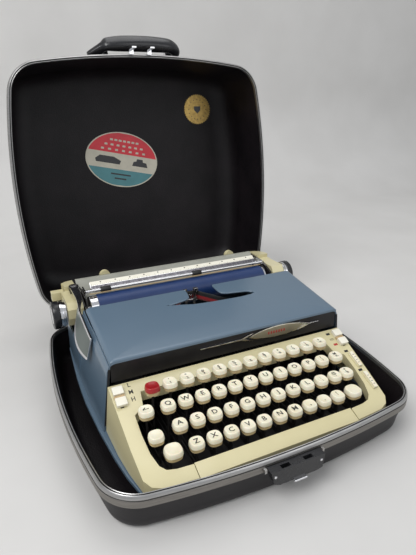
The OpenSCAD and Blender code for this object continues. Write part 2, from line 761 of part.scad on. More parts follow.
module tab_key() { key(-110.3, 0, 0, cap_w, [0.65, 0.08, 0.10]); }
module backspace_key() { key(-123.8, 1); }
module margin_release_key() { key(109.8, 1); }
module tabulator_key() { key(111.4, 2, 2.9); }

module space_bar() {
    arm_x = [-88.85, 82.6];
    bar_front = -164.4;
    color([0.81, 0.79, 0.62]) difference() {
        skin([for (z = [34, 40.4]) [[-94.4, bar_front, z], [94.4, bar_front, z],
                                    [94.4, -149, z + (z > 35 ? 5.6 : 0)],
                                    [-94.4, -149, z + (z > 35 ? 5.6 : 0)]]]);
        span([-92, -162, 33], [92, -148, 38]);
    }
    color([0.20, 0.20, 0.22]) for (x = arm_x) plate_yz(x, lever_t) difference() {
        union() {
            translate([fulcrum_y, fulcrum_z]) circle(r = 4, $fn = 24);
            polygon([[fulcrum_y, fulcrum_z - 3.4], [-150, 32], [-159, 33], [-159, 37.9],
                     [-152, 37.9], [-150, 37], [fulcrum_y, fulcrum_z + 3.4]]);
        }
        translate([fulcrum_y, fulcrum_z]) circle(r = fulcrum_r + run, $fn = 24);
    }
}

case_base();
case_base_rim();
case_hinges();
case_latch();
case_lid();
case_lid_rim();
case_handle();
chassis();
body_shell();
ribbon_cover();
front_panel();
keyboard_surround();
carriage_frame();
carriage_end_caps();
platen();
platen_knobs();
paper_table();
paper_bail();
return_lever();
margin_stop_left();
margin_stop_right();
carriage_release();
type_basket();
ribbon_spools();
ribbon();
touch_selector();
ribbon_selector();
space_bar();
shift_keys();
tab_key();
backspace_key();
margin_release_key();
tabulator_key();
figure_keys();
for (c = letters) letter_key(c);
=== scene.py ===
"""Looks of a portable typewriter in its carrying case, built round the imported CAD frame.

Lengths below are in millimetres and are scaled to metres where a mesh is made.
Frame: +X is the typist's right, +Y points to the back, +Z is up.
"""
import json
import math

import bmesh
import bpy
from mathutils import Matrix, Vector

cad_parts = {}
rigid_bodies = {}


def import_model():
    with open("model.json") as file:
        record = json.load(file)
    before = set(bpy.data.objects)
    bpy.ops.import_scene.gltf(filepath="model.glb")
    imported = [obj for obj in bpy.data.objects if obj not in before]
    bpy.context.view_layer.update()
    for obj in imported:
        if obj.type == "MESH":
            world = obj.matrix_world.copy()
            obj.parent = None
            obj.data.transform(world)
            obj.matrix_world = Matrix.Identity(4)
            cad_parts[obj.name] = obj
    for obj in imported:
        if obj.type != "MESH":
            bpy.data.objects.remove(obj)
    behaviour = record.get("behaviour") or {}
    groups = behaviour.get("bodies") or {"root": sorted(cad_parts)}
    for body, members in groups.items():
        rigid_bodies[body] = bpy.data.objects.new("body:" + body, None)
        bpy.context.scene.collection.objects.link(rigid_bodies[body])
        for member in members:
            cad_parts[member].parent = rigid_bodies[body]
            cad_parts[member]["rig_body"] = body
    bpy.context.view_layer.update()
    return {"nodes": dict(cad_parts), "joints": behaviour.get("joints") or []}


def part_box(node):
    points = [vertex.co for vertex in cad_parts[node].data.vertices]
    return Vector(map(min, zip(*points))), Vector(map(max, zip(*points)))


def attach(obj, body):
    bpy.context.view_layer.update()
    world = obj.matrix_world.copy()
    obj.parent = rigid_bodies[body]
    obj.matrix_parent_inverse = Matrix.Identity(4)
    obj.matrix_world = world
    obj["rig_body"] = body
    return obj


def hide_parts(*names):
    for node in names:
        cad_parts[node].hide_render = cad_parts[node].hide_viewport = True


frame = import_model()

MM = 0.001
JOINTS = {j["name"]: j for j in frame["joints"]}


def corners(node):
    """Lowest and highest corner of a CAD node, in millimetres."""
    lo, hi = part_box(node)
    return lo / MM, hi / MM


def pivot(joint):
    """A point on a joint's axis, in millimetres."""
    return Vector(JOINTS[joint]["pos_m"]) / MM


def turns(count):
    """Angles of that many equal steps round one turn."""
    return [2 * math.pi * i / count for i in range(count)]


def squared(value, power):
    """A cosine or sine raised to a power below 1, which squares a circle off."""
    return math.copysign(abs(value) ** power, value)


def rectangle(u0, v0, u1, v1):
    return [(u0, v0), (u1, v0), (u1, v1), (u0, v1)]


def lifted(place, rise):
    """The same placing function, starting that much higher."""
    return lambda u, v, h=0.0: place(u, v, rise + h)


def upright(x):
    """Places a side view, drawn in y and z, at that x and towards +X."""
    return lambda y, z, h: (x + h, y, z)


# ---------- camera ----------

def make_camera():
    """Stands where the picture's own perspective puts it, to the left of the front corner."""
    yaw, pitch, roll = math.radians(25.89), math.radians(22.87), math.radians(0.45)
    ahead = Vector((math.sin(yaw) * math.cos(pitch), math.cos(yaw) * math.cos(pitch),
                    -math.sin(pitch)))
    right = Vector((math.cos(yaw), -math.sin(yaw), 0))
    up = right.cross(ahead)
    tilted_right = right * math.cos(roll) + up * math.sin(roll)
    tilted_up = up * math.cos(roll) - right * math.sin(roll)
    data = bpy.data.cameras.new("camera")
    data.lens = 30.37
    data.sensor_width = 36
    camera = bpy.data.objects.new("camera", data)
    turn = Matrix((tilted_right, tilted_up, -ahead)).transposed().to_4x4()
    camera.matrix_world = Matrix.Translation(Vector((-232.0, -459.1, 378.8)) * MM) @ turn
    bpy.context.scene.collection.objects.link(camera)
    bpy.context.scene.camera = camera


# ---------- materials ----------

class Look:
    """A node material: a Principled shader with textures in object space."""

    def __init__(self, name, colour, rough, metal=0.0, **sockets):
        self.material = bpy.data.materials.new(name)
        self.material.use_nodes = True
        self.tree = self.material.node_tree
        self.shader = self.tree.nodes["Principled BSDF"]
        self.colour = colour
        self.set("Base Color", (*colour, 1))
        self.set("Roughness", rough)
        self.set("Metallic", metal)
        for key, value in sockets.items():
            self.set(key.replace("_", " "), value)
        self.place = self.tree.nodes.new("ShaderNodeTexCoord").outputs["Object"]

    def set(self, socket, value):
        self.shader.inputs[socket].default_value = value

    def link(self, a, b):
        self.tree.links.new(a, b)

    def stretched(self, factors):
        """Object coordinates scaled per axis, for brushed or woven finishes."""
        node = self.tree.nodes.new("ShaderNodeMapping")
        node.inputs["Scale"].default_value = factors
        self.link(self.place, node.inputs["Vector"])
        return node.outputs["Vector"]

    def noise(self, scale, detail=3, vector=None):
        node = self.tree.nodes.new("ShaderNodeTexNoise")
        node.inputs["Scale"].default_value = scale
        node.inputs["Detail"].default_value = detail
        self.link(vector or self.place, node.inputs["Vector"])
        return node.outputs["Fac"]

    def cells(self, scale):
        node = self.tree.nodes.new("ShaderNodeTexVoronoi")
        node.inputs["Scale"].default_value = scale
        self.link(self.place, node.inputs["Vector"])
        return node.outputs["Distance"]

    def mottle(self, other, height, low, high):
        """Mixes the colour with another one, where the texture is high."""
        ramp = self.tree.nodes.new("ShaderNodeValToRGB")
        ramp.color_ramp.elements[0].position = low
        ramp.color_ramp.elements[0].color = (*self.colour, 1)
        ramp.color_ramp.elements[1].position = high
        ramp.color_ramp.elements[1].color = (*other, 1)
        self.link(height, ramp.inputs["Fac"])
        self.link(ramp.outputs["Color"], self.shader.inputs["Base Color"])
        return self

    def vary_rough(self, height, low, high):
        span = self.tree.nodes.new("ShaderNodeMapRange")
        span.inputs["To Min"].default_value = low
        span.inputs["To Max"].default_value = high
        self.link(height, span.inputs["Value"])
        self.link(span.outputs["Result"], self.shader.inputs["Roughness"])
        return self

    def bump(self, height, distance, strength=1.0):
        """Bump of that depth in millimetres; several calls stack."""
        node = self.tree.nodes.new("ShaderNodeBump")
        node.inputs["Distance"].default_value = distance * MM
        node.inputs["Strength"].default_value = strength
        self.link(height, node.inputs["Height"])
        under = self.shader.inputs["Normal"]
        if under.links:
            self.link(under.links[0].from_socket, node.inputs["Normal"])
        self.link(node.outputs["Normal"], under)
        return self

    def speckle(self, other, scale, detail=3, low=0.4, high=0.8):
        """Mottle from plain noise."""
        return self.mottle(other, self.noise(scale, detail), low, high)

    def grain(self, scale, distance, strength=0.4, detail=3):
        """Bump from plain noise."""
        return self.bump(self.noise(scale, detail), distance, strength)


def make_looks():
    looks = {}

    def add(key, colour, rough, metal=0.0, **sockets):
        looks[key] = Look(key, colour, rough, metal, **sockets)
        return looks[key]

    # moulded case: fine leather grain, darker and browner inside
    case = add("case_outside", (0.010, 0.0088, 0.0100), 0.5, Specular_IOR_Level=0.35)
    case.speckle((0.018, 0.016, 0.018), 18, 3, 0.3, 0.75)
    case.bump(case.cells(900), 0.12, 0.55).grain(1500, 0.05, 0.5)
    case = add("case_lining", (0.0042, 0.0030, 0.0040), 0.5, Specular_IOR_Level=0.3)
    case.speckle((0.0095, 0.0068, 0.0086), 25, 5, 0.35, 0.7)
    case.bump(case.cells(620), 0.22, 0.8).grain(1700, 0.06, 0.5)
    # rims: drawn aluminium
    for key, colour, rough in (("rim_band", (0.27, 0.255, 0.235), 0.45),
                               ("rim_bead", (0.44, 0.435, 0.43), 0.32)):
        rim = add(key, colour, rough, 0.95)
        streaks = rim.noise(60, 4, rim.stretched((1, 1, 14)))
        rim.mottle(tuple(c * 0.78 for c in colour), streaks, 0.35, 0.8)
        rim.vary_rough(streaks, rough - 0.08, rough + 0.14)
    add("rim_groove_shade", (0.05, 0.048, 0.045), 0.5, 0.6).grain(700, 0.05, 1.0)
    # enamels
    blue = add("body_blue", (0.092, 0.142, 0.196), 0.34, Coat_Weight=0.4, Coat_Roughness=0.2)
    blue.speckle((0.100, 0.152, 0.207), 9, 4, 0.3, 0.75).grain(1100, 0.02, 0.5, 2)
    black = add("panel_black", (0.008, 0.0075, 0.009), 0.36, Specular_IOR_Level=0.3)
    black.speckle((0.018, 0.017, 0.019), 40, 3, 0.3).grain(900, 0.02, 0.4, 2)
    enamel = add("frame_enamel", (0.014, 0.0125, 0.0135), 0.45)
    enamel.speckle((0.034, 0.031, 0.031), 60).grain(500, 0.05, 0.5)
    pale = add("pale_enamel", (0.36, 0.36, 0.31), 0.36)
    pale.speckle((0.29, 0.29, 0.25), 35, 4, 0.45).grain(800, 0.02)
    # plastics
    cream = add("cream", (0.635, 0.575, 0.345), 0.28, Coat_Weight=0.45, Coat_Roughness=0.1)
    cream.speckle((0.595, 0.535, 0.310), 14, 5, 0.35, 0.7).grain(650, 0.015, 0.4, 2)
    cream.vary_rough(cream.noise(30, 5), 0.24, 0.42)
    white = add("white_plastic", (0.80, 0.77, 0.66), 0.32)
    white.speckle((0.74, 0.70, 0.57), 90, 4, 0.45).grain(900, 0.015)
    # tan: the bail wire's own colour, and painted shade standing for the selectors' finger grooves
    add("tan_plastic_and_groove_shade", (0.50, 0.36, 0.19), 0.4).speckle((0.42, 0.29, 0.15), 120)
    ivory = add("key_ivory", (0.80, 0.755, 0.60), 0.30, Coat_Weight=0.2, Coat_Roughness=0.2,
                Subsurface_Weight=0.08, Subsurface_Scale=0.002)
    ivory.speckle((0.72, 0.655, 0.47), 70, 5, 0.42).grain(1300, 0.012, 0.4, 2)
    # key skirts: tan colour that is painted shade under the caps' overhang
    side = add("key_skirt_painted_shade", (0.50, 0.385, 0.20), 0.38)
    side.speckle((0.60, 0.48, 0.275), 160, 4, 0.4, 0.75).grain(1200, 0.015)
    red = add("key_red", (0.36, 0.006, 0.010), 0.3, Coat_Weight=0.15, Coat_Roughness=0.15)
    red.speckle((0.24, 0.005, 0.008), 80, 4).grain(1300, 0.012)
    add("legend", (0.012, 0.011, 0.011), 0.5).speckle((0.03, 0.028, 0.024), 600, 3, 0.45)
    add("red_mark", (0.42, 0.02, 0.02), 0.45).speckle((0.33, 0.02, 0.02), 400)
    gloss = add("black_plastic", (0.010, 0.010, 0.012), 0.24)
    gloss.speckle((0.020, 0.020, 0.022), 50, 4).grain(900, 0.02)
    gloss.vary_rough(gloss.noise(40, 4), 0.18, 0.36)
    # metals
    chrome = add("chrome", (0.74, 0.74, 0.76), 0.12, 1.0)
    chrome.vary_rough(chrome.noise(120, 5), 0.07, 0.22).grain(250, 0.01, 0.3, 2)
    steel = add("steel", (0.50, 0.49, 0.48), 0.30, 1.0)
    steel.speckle((0.36, 0.34, 0.32), 150, 5, 0.4, 0.75).vary_rough(steel.noise(90, 5), 0.2, 0.45)
    steel.bump(steel.noise(500, 2, steel.stretched((1, 12, 12))), 0.02, 0.4)
    dark = add("key_lever", (0.045, 0.042, 0.042), 0.5, 0.6)
    dark.speckle((0.020, 0.018, 0.018), 130, 4, 0.35, 0.75).grain(700, 0.03)
    grey = add("lever_face", (0.085, 0.105, 0.098), 0.34, 0.25)
    grey.speckle((0.115, 0.138, 0.125), 30, 3, 0.3).grain(800, 0.015, 0.3)
    ribbed = add("scale_ribs", (0.105, 0.10, 0.11), 0.35, 0.7)
    ribbed.mottle((0.22, 0.21, 0.23), ribbed.noise(40, 2, ribbed.stretched((14, 1, 1))), 0.35, 0.7)
    gold = add("gold_foil", (0.50, 0.34, 0.11), 0.36, 0.9)
    gold.speckle((0.30, 0.20, 0.07), 250, 4, 0.4, 0.75).grain(500, 0.04, 0.5)
    badge = add("badge", (0.36, 0.33, 0.25), 0.36, 0.75)
    badge.speckle((0.27, 0.25, 0.19), 55, 3, 0.35, 0.75).grain(800, 0.02)
    # rubber, cloth, paper
    rubber = add("platen_blue", (0.006, 0.026, 0.105), 0.42)
    rubber.speckle((0.009, 0.033, 0.125), 45, 4, 0.3, 0.75).grain(1200, 0.02, 0.5, 2)
    add("black_rubber", (0.010, 0.010, 0.010), 0.6).speckle((0.02, 0.02, 0.02), 200)
    for key, colour in (("ribbon_red", (0.33, 0.008, 0.014)), ("ribbon_black", (0.007, 0.007, 0.008))):
        cloth = add(key, colour, 0.75, Sheen_Weight=0.3)
        weave = cloth.noise(2600, 1, cloth.stretched((1, 1, 0.4)))
        cloth.mottle(tuple(c * 0.6 for c in colour), weave, 0.4, 0.7)
        cloth.bump(weave, 0.05, 0.7)
    for key, colour in (("label_cream", (0.62, 0.58, 0.47)), ("label_red", (0.70, 0.020, 0.038)),
                        ("label_teal", (0.075, 0.25, 0.275)), ("label_ink", (0.025, 0.025, 0.028))):
        paper = add(key, colour, 0.42, Coat_Weight=0.3, Coat_Roughness=0.2)
        paper.speckle(tuple(c * 0.84 for c in colour), 60, 5, 0.4, 0.75).grain(500, 0.02, 0.3)
    return {key: look.material for key, look in looks.items()}


LOOKS = make_looks()


# ---------- mesh building ----------

def flat_mesh(curve):
    """The filled face of a flat curve or text, as a mesh; the curve is used up."""
    holder = bpy.data.objects.new("outline", curve)
    bpy.context.scene.collection.objects.link(holder)
    mesh = bpy.data.meshes.new_from_object(
        holder.evaluated_get(bpy.context.evaluated_depsgraph_get()))
    bpy.data.objects.remove(holder)
    bpy.data.curves.remove(curve)
    return mesh


class Solid:
    """Collects shapes in millimetres and becomes one object. `look` picks the material."""

    def __init__(self, *looks):
        self.bm = bmesh.new()
        self.looks = list(looks)
        self.look = looks[0]

    def use(self, look):
        self.look = look
        return self

    def face(self, points):
        made = self.bm.faces.new(points)
        made.material_index = self.looks.index(self.look)
        return made

    def loft(self, loops, ring=False, ends=True, looks=None):
        """Skin through loops of equal counts; ring joins the last loop to the first."""
        rows = [[self.bm.verts.new(p) for p in loop] for loop in loops]
        count = len(rows[0])
        pairs = list(zip(rows, rows[1:])) + ([(rows[-1], rows[0])] if ring else [])
        for k, (a, b) in enumerate(pairs):
            if looks:
                self.use(looks[k])
            for i in range(count):
                j = (i + 1) % count
                self.face((a[i], a[j], b[j], b[i]))
        if ends and not ring:
            self.face(rows[0][::-1])
            self.face(rows[-1])
        return self

    def lathe(self, profile, centre, axis, sides=48, looks=None):
        """Turns [distance along the axis, radius] points about an axis through centre."""
        along = Vector(axis).normalized()
        across = along.orthogonal().normalized()
        third = along.cross(across)
        loops = [[Vector(centre) + along * h + (across * math.cos(t) + third * math.sin(t)) * r
                  for t in turns(sides)] for h, r in profile]
        return self.loft(loops, looks=looks)

    def rod(self, start, end, radius, sides=24, chamfer=0.0):
        length = (Vector(end) - Vector(start)).length
        profile = [(0, radius), (length, radius)]
        if chamfer:
            profile = [(0, radius - chamfer), (chamfer, radius), (length - chamfer, radius),
                       (length, radius - chamfer)]
        return self.lathe(profile, start, Vector(end) - Vector(start), sides)

    def prism(self, outline, to_point, thickness):
        """Extrudes a flat outline; to_point(u, v, h) gives a point at height h over it."""
        return self.loft([[to_point(u, v, h) for u, v in outline] for h in (0, thickness)])

    def block(self, lo, hi):
        x0, y0, z0 = lo
        x1, y1, z1 = hi
        return self.loft([[(x, y, z) for x, y in rectangle(x0, y0, x1, y1)] for z in (z0, z1)])

    def close_ends(self, count, first, last):
        """Faces over the first and the last loop of an open loft, each with its own look."""
        rows = self.bm.verts
        rows.ensure_lookup_table()
        self.use(first).face(rows[:count][::-1])
        self.use(last).face(rows[len(rows) - count:])

    def tube(self, path, radius, sides=10):
        """Round tube along a list of points."""
        path = [Vector(p) for p in path]
        loops = []
        for i, p in enumerate(path):
            ahead = (path[min(i + 1, len(path) - 1)] - path[max(i - 1, 0)]).normalized()
            across = ahead.cross(Vector((0, 0, 1)))
            across = (across if across.length > 0.1 else Vector((1, 0, 0))).normalized()
            third = ahead.cross(across)
            loops.append([p + (across * math.cos(t) + third * math.sin(t)) * radius
                          for t in turns(sides)])
        return self.loft(loops)

    def stamp(self, text, size, to_point):
        """Flat letters, each vertex placed by to_point(u, v)."""
        curve = bpy.data.curves.new("glyph", "FONT")
        curve.body = text
        curve.size = size
        curve.align_x = "CENTER"
        curve.align_y = "CENTER"
        curve.resolution_u = 2
        curve.offset = 0.016 * size
        flat = flat_mesh(curve)
        rows = [self.bm.verts.new(to_point(v.co.x, v.co.y)) for v in flat.vertices]
        for polygon in flat.polygons:
            self.face([rows[i] for i in polygon.vertices])
        bpy.data.meshes.remove(flat)
        return self

    def place(self, name, body, slot, replaces=(), bevel=0.0, steps=2, smooth=35, matrix=None):
        """Makes the object and rides it on its body; the slot, what it stands for, is not used."""
        bmesh.ops.recalc_face_normals(self.bm, faces=self.bm.faces)
        mesh = bpy.data.meshes.new(name)
        self.bm.to_mesh(mesh)
        self.bm.free()
        if matrix:
            mesh.transform(matrix)
        mesh.transform(Matrix.Scale(MM, 4))
        for look in self.looks:
            mesh.materials.append(LOOKS[look])
        mesh.shade_smooth()
        mesh.set_sharp_from_angle(angle=math.radians(smooth))
        piece = bpy.data.objects.new(name, mesh)
        bpy.context.scene.collection.objects.link(piece)
        if bevel:
            soften(piece, bevel, steps)
        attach(piece, body)
        if replaces:
            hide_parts(*replaces)
        return piece


def soften(piece, width, steps=2, angle=35):
    """Rounds a piece's edges and keeps its flats flat."""
    bevel = piece.modifiers.new("rounded edges", "BEVEL")
    bevel.width = width * MM
    bevel.segments = steps
    bevel.limit_method = "ANGLE"
    bevel.angle_limit = math.radians(angle)
    bevel.use_clamp_overlap = True
    even = piece.modifiers.new("even shading", "WEIGHTED_NORMAL")
    even.keep_sharp = True


def dress(node, look, bevel=0.4, steps=2, angle=35):
    """Gives a CAD node its material and rounds its edges."""
    piece = frame["nodes"][node]
    mesh = piece.data
    mesh.materials.clear()
    mesh.materials.append(LOOKS[look])
    for layer in ("custom_normal", "sharp_edge"):
        if layer in mesh.attributes:
            mesh.attributes.remove(mesh.attributes[layer])
    mesh.shade_smooth()
    weld = piece.modifiers.new("weld", "WELD")
    weld.merge_threshold = 1e-5
    if bevel:
        soften(piece, bevel, steps, angle)
    return piece


def curve_between(start, corner, end, count):
    """Points of a quadratic curve from start to end, drawn towards corner."""
    return [tuple((1 - t) ** 2 * a + 2 * t * (1 - t) * b + t * t * c
                  for a, b, c in zip(start, corner, end))
            for t in (i / count for i in range(count + 1))]


# ---------- carrying case ----------

RIM_OUT = 4.6
WALL = 3.2
CORNER_R = 40
HALF_CHORD = 150
SIDE_BOW, END_BOW = 14, 11
LID_HEIGHT = 112
LID_WALL = 4.2
KNUCKLE_X = 70
HANDLE_POST_X = 46.5
HANDLE_TIP = 50


def arc(centre, radius, start, end, count):
    return [(centre[0] + radius * math.cos(start + (end - start) * i / count),
             centre[1] + radius * math.sin(start + (end - start) * i / count))
            for i in range(count)]


def case_outline(growth, steps=14):
    """The case's outline in plan: four bowed sides joined by corner arcs that touch them."""
    rim = corners("case_base_rim")[1]
    half_w, half_d = rim.x - RIM_OUT, -corners("case_base_rim")[0].y - RIM_OUT
    side_r, end_r = ((HALF_CHORD ** 2 + bow ** 2) / (2 * bow) for bow in (SIDE_BOW, END_BOW))
    side_c, end_c = Vector((half_w - side_r, 0)), Vector((0, half_d - end_r))
    gap = (end_c - side_c).length
    along = ((side_r - CORNER_R) ** 2 - (end_r - CORNER_R) ** 2 + gap ** 2) / (2 * gap)
    across = math.sqrt((side_r - CORNER_R) ** 2 - along ** 2)
    way = (end_c - side_c) / gap
    corner_c = side_c + along * way + across * Vector((-way.y, way.x))
    side_end = math.atan2(*(corner_c - side_c).yx)
    end_start = math.atan2(*(corner_c - end_c).yx)
    q = (arc(side_c, side_r + growth, 0, side_end, steps)
         + arc(corner_c, CORNER_R + growth, side_end, end_start, steps)
         + arc(end_c, end_r + growth, end_start, math.pi / 2, steps))
    top = [(0, half_d + growth)]
    rest = q[1:]
    return (q + top + [(-x, y) for x, y in reversed(rest)] + [(-x, -y) for x, y in q]
            + [(x, -y) for x, y in top] + [(x, -y) for x, y in reversed(rest)])


def case_loops(profile):
    return [[(x, y, z) for x, y in case_outline(g)] for z, g in profile]


def opened():
    """Turns lid pieces, drawn closed, to where the lid stands open."""
    hinge = pivot("lid_hinge")
    angle = -math.radians(JOINTS["lid_hinge"]["range_deg"][1])
    return Matrix.Translation(hinge) @ Matrix.Rotation(angle, 4, "X") @ Matrix.Translation(-hinge)


def shell(floor_z, rim_z, up):
    """Profile of a case shell from the middle of its floor outwards and back inside."""
    height = abs(rim_z - floor_z)
    deep = height > 60
    inset, lift = (34, 30) if deep else (14, 16)
    outside = curve_between((0, -inset), (0, -3.2), (lift, -1 if deep else -3), 10)
    inside = curve_between((lift + 2, -2 if deep else -5.6), (4.2, -6.5), (4.2, -inset - 2), 10)
    side = [(height, WALL), (height, 0.2)]
    return [(floor_z + up * z, g) for z, g in outside + side + inside], len(outside)


def make_case():
    base_rim = corners("case_base_rim")
    closing = base_rim[1].z + 0.3
    for name, body, node, floor, rim, up, matrix in (
            ("case_base_shell", "root", "case_base", 0, base_rim[1].z - 5.4, 1, None),
            ("case_lid_shell", "lid", "case_lid", closing + LID_HEIGHT, closing + 5.3, -1, opened())):
        profile, outer = shell(floor, rim, up)
        looks = ["case_outside"] * outer + ["case_lining"] * (len(profile) - 1 - outer)
        solid = Solid("case_outside", "case_lining")
        loops = case_loops(profile)
        solid.loft(loops, looks=looks, ends=False)
        solid.close_ends(len(loops[0]), "case_outside", "case_lining")
        solid.place(name, body, "case_shell", [node], matrix=matrix)
    # rim profile as [height over the rim's lower edge, growth], with the look of each strip
    top = base_rim[1].z - base_rim[0].z
    strips = [((0, 3.3), "rim_band"), ((0, 4.2), "rim_band"), ((0.5, RIM_OUT), "rim_band"),
              ((7.9, RIM_OUT), "rim_groove_shade"), ((8.3, 4.1), "rim_groove_shade"), ((8.9, 4.1), "rim_bead"),
              ((9.4, 4.5), "rim_bead"), ((11.2, 4.0), "rim_bead"), ((top - 0.5, 3.2), "rim_bead"),
              ((top, 2.5), "rim_bead"), ((top - 0.4, 2.0), "rim_groove_shade"),
              ((top - 1.6, 1.8), "rim_groove_shade"), ((top - 1.6, 1.0), "rim_groove_shade"),
              ((top - 0.4, 0.8), "rim_bead"), ((top, 0.3), "rim_bead"),
              ((top - 0.4, -0.2), "rim_bead"), ((top - 5, -0.3), "rim_groove_shade"),
              ((top - 5, 3.3), "rim_groove_shade")]
    low = base_rim[0].z
    for name, body, node, start, up, matrix in (
            ("case_base_band", "root", "case_base_rim", low, 1, None),
            ("case_lid_band", "lid", "case_lid_rim", closing + top, -1, opened())):
        solid = Solid("rim_band", "rim_bead", "rim_groove_shade", "chrome")
        solid.loft(case_loops([(start + up * h, g) for (h, g), look in strips]), ring=True,
                   looks=[look for place, look in strips])
        if up < 0:
            lid_fittings(solid.use("chrome"))
        solid.place(name, body, "case_rim", [node], matrix=matrix, smooth=28)


def lid_fittings(solid):
    """Knuckles, latch hooks and handle posts of the lid, drawn with the lid closed."""
    hinge = pivot("lid_hinge")
    front = corners("case_base_rim")[0].y
    for side in (-1, 1):
        x = side * KNUCKLE_X
        solid.rod((x - 6, hinge.y, hinge.z), (x + 6, hinge.y, hinge.z), 2.3, chamfer=0.3)
        solid.block((x - 6, hinge.y - 7.5, hinge.z + 0.9), (x + 6, hinge.y, hinge.z + 3))
    for x in (-20, 6):
        solid.block((x, front - 6.8, 38), (x + 6, front - 5, 54))
        solid.block((x, front - 5, 52), (x + 6, front + 0.8, 54))
    axis = opened().inverted() @ pivot("handle_fold")
    for side in (-1, 1):
        x = side * HANDLE_POST_X
        outline = curve_between((6, -9), (6, 3.2), (0, 3.2), 6) + \
            curve_between((0, 3.2), (-6, 3.2), (-6, -9), 6)[1:]
        solid.prism(outline, lambda u, v, h: (x - 3.5 + h, axis.y - v, axis.z + u), 7)
        solid.rod((x + side * 3.4, axis.y, axis.z), (x + side * 11, axis.y, axis.z), 2)


def make_case_fittings():
    dress("case_hinges", "steel", 0.3)
    dress("case_latch", "black_plastic", 1.0, 3)
    make_handle()
    lo = corners("case_latch")[0]
    lip = Solid("chrome")
    lip.block((-8.3, lo.y - 0.3, lo.z - 0.2), (6.3, lo.y + 6, lo.z + 2))
    lip.place("latch_lip", "latch", "bail", bevel=0.5)
    rivets = Solid("chrome")
    for x in (-30, 23):
        rivets.lathe([(0, 1.6), (0.5, 1.5), (0.9, 0.9), (1.0, 0.2)], (x, lo.y + 2.1, 38), (0, -1, 0), 16)
    rivets.place("latch_rivets", "latch", "bail")


def make_handle():
    """Padded grip with two feet, drawn standing out from the closed lid and then folded down."""
    axis = opened().inverted() @ pivot("handle_fold")
    fold = opened() @ Matrix.Translation(axis) @ Matrix.Rotation(math.radians(HANDLE_TIP), 4, "X")
    # along the grip: x, how far its outer and its inner side stand from the axis, half its height
    grip = [(-70.5, -1.5, -4.6, 2.6), (-66, 2.6, -4.9, 4.2), (-60, 8, -5, 5.0), (-53, 14, -4.6, 6.6),
            (-50, 16.6, 3, 8.2), (-46, 19, 7.2, 9.6), (-34, 21.8, 7.3, 10.6), (-20, 23.6, 7.4, 10.9),
            (0, 24.6, 7.4, 10.9), (20, 24.4, 7.4, 10.9), (40, 22.8, 7.3, 10.7), (50, 21, 5, 10.2),
            (56, 18.4, -2.5, 9.2), (61, 14.6, -3.4, 7.4), (64.5, 10, -2, 5.0), (66, 6, 1, 2.6)]
    pad = Solid("black_plastic")
    loops = []
    for x, outer, inner, half in smooth_path(grip, 3):
        middle, reach = (outer + inner) / 2, (outer - inner) / 2
        loops.append([(x, -(middle + reach * squared(math.cos(t), 0.75)),
                       half * squared(math.sin(t), 0.75)) for t in turns(28)])
    pad.loft(loops)
    # raised seam round the pad's outer face
    seam = [(x, -(0.62 * outer + 0.38 * inner), half * 0.88 + 0.35)
            for x, outer, inner, half in smooth_path(grip[4:14], 3)]
    pad.tube(seam, 0.7, 8)
    pad.tube([(x, y, -z) for x, y, z in seam], 0.7, 8)
    pad.place("handle_grip", "handle", "case_trim", ["case_handle"], smooth=50, matrix=fold)


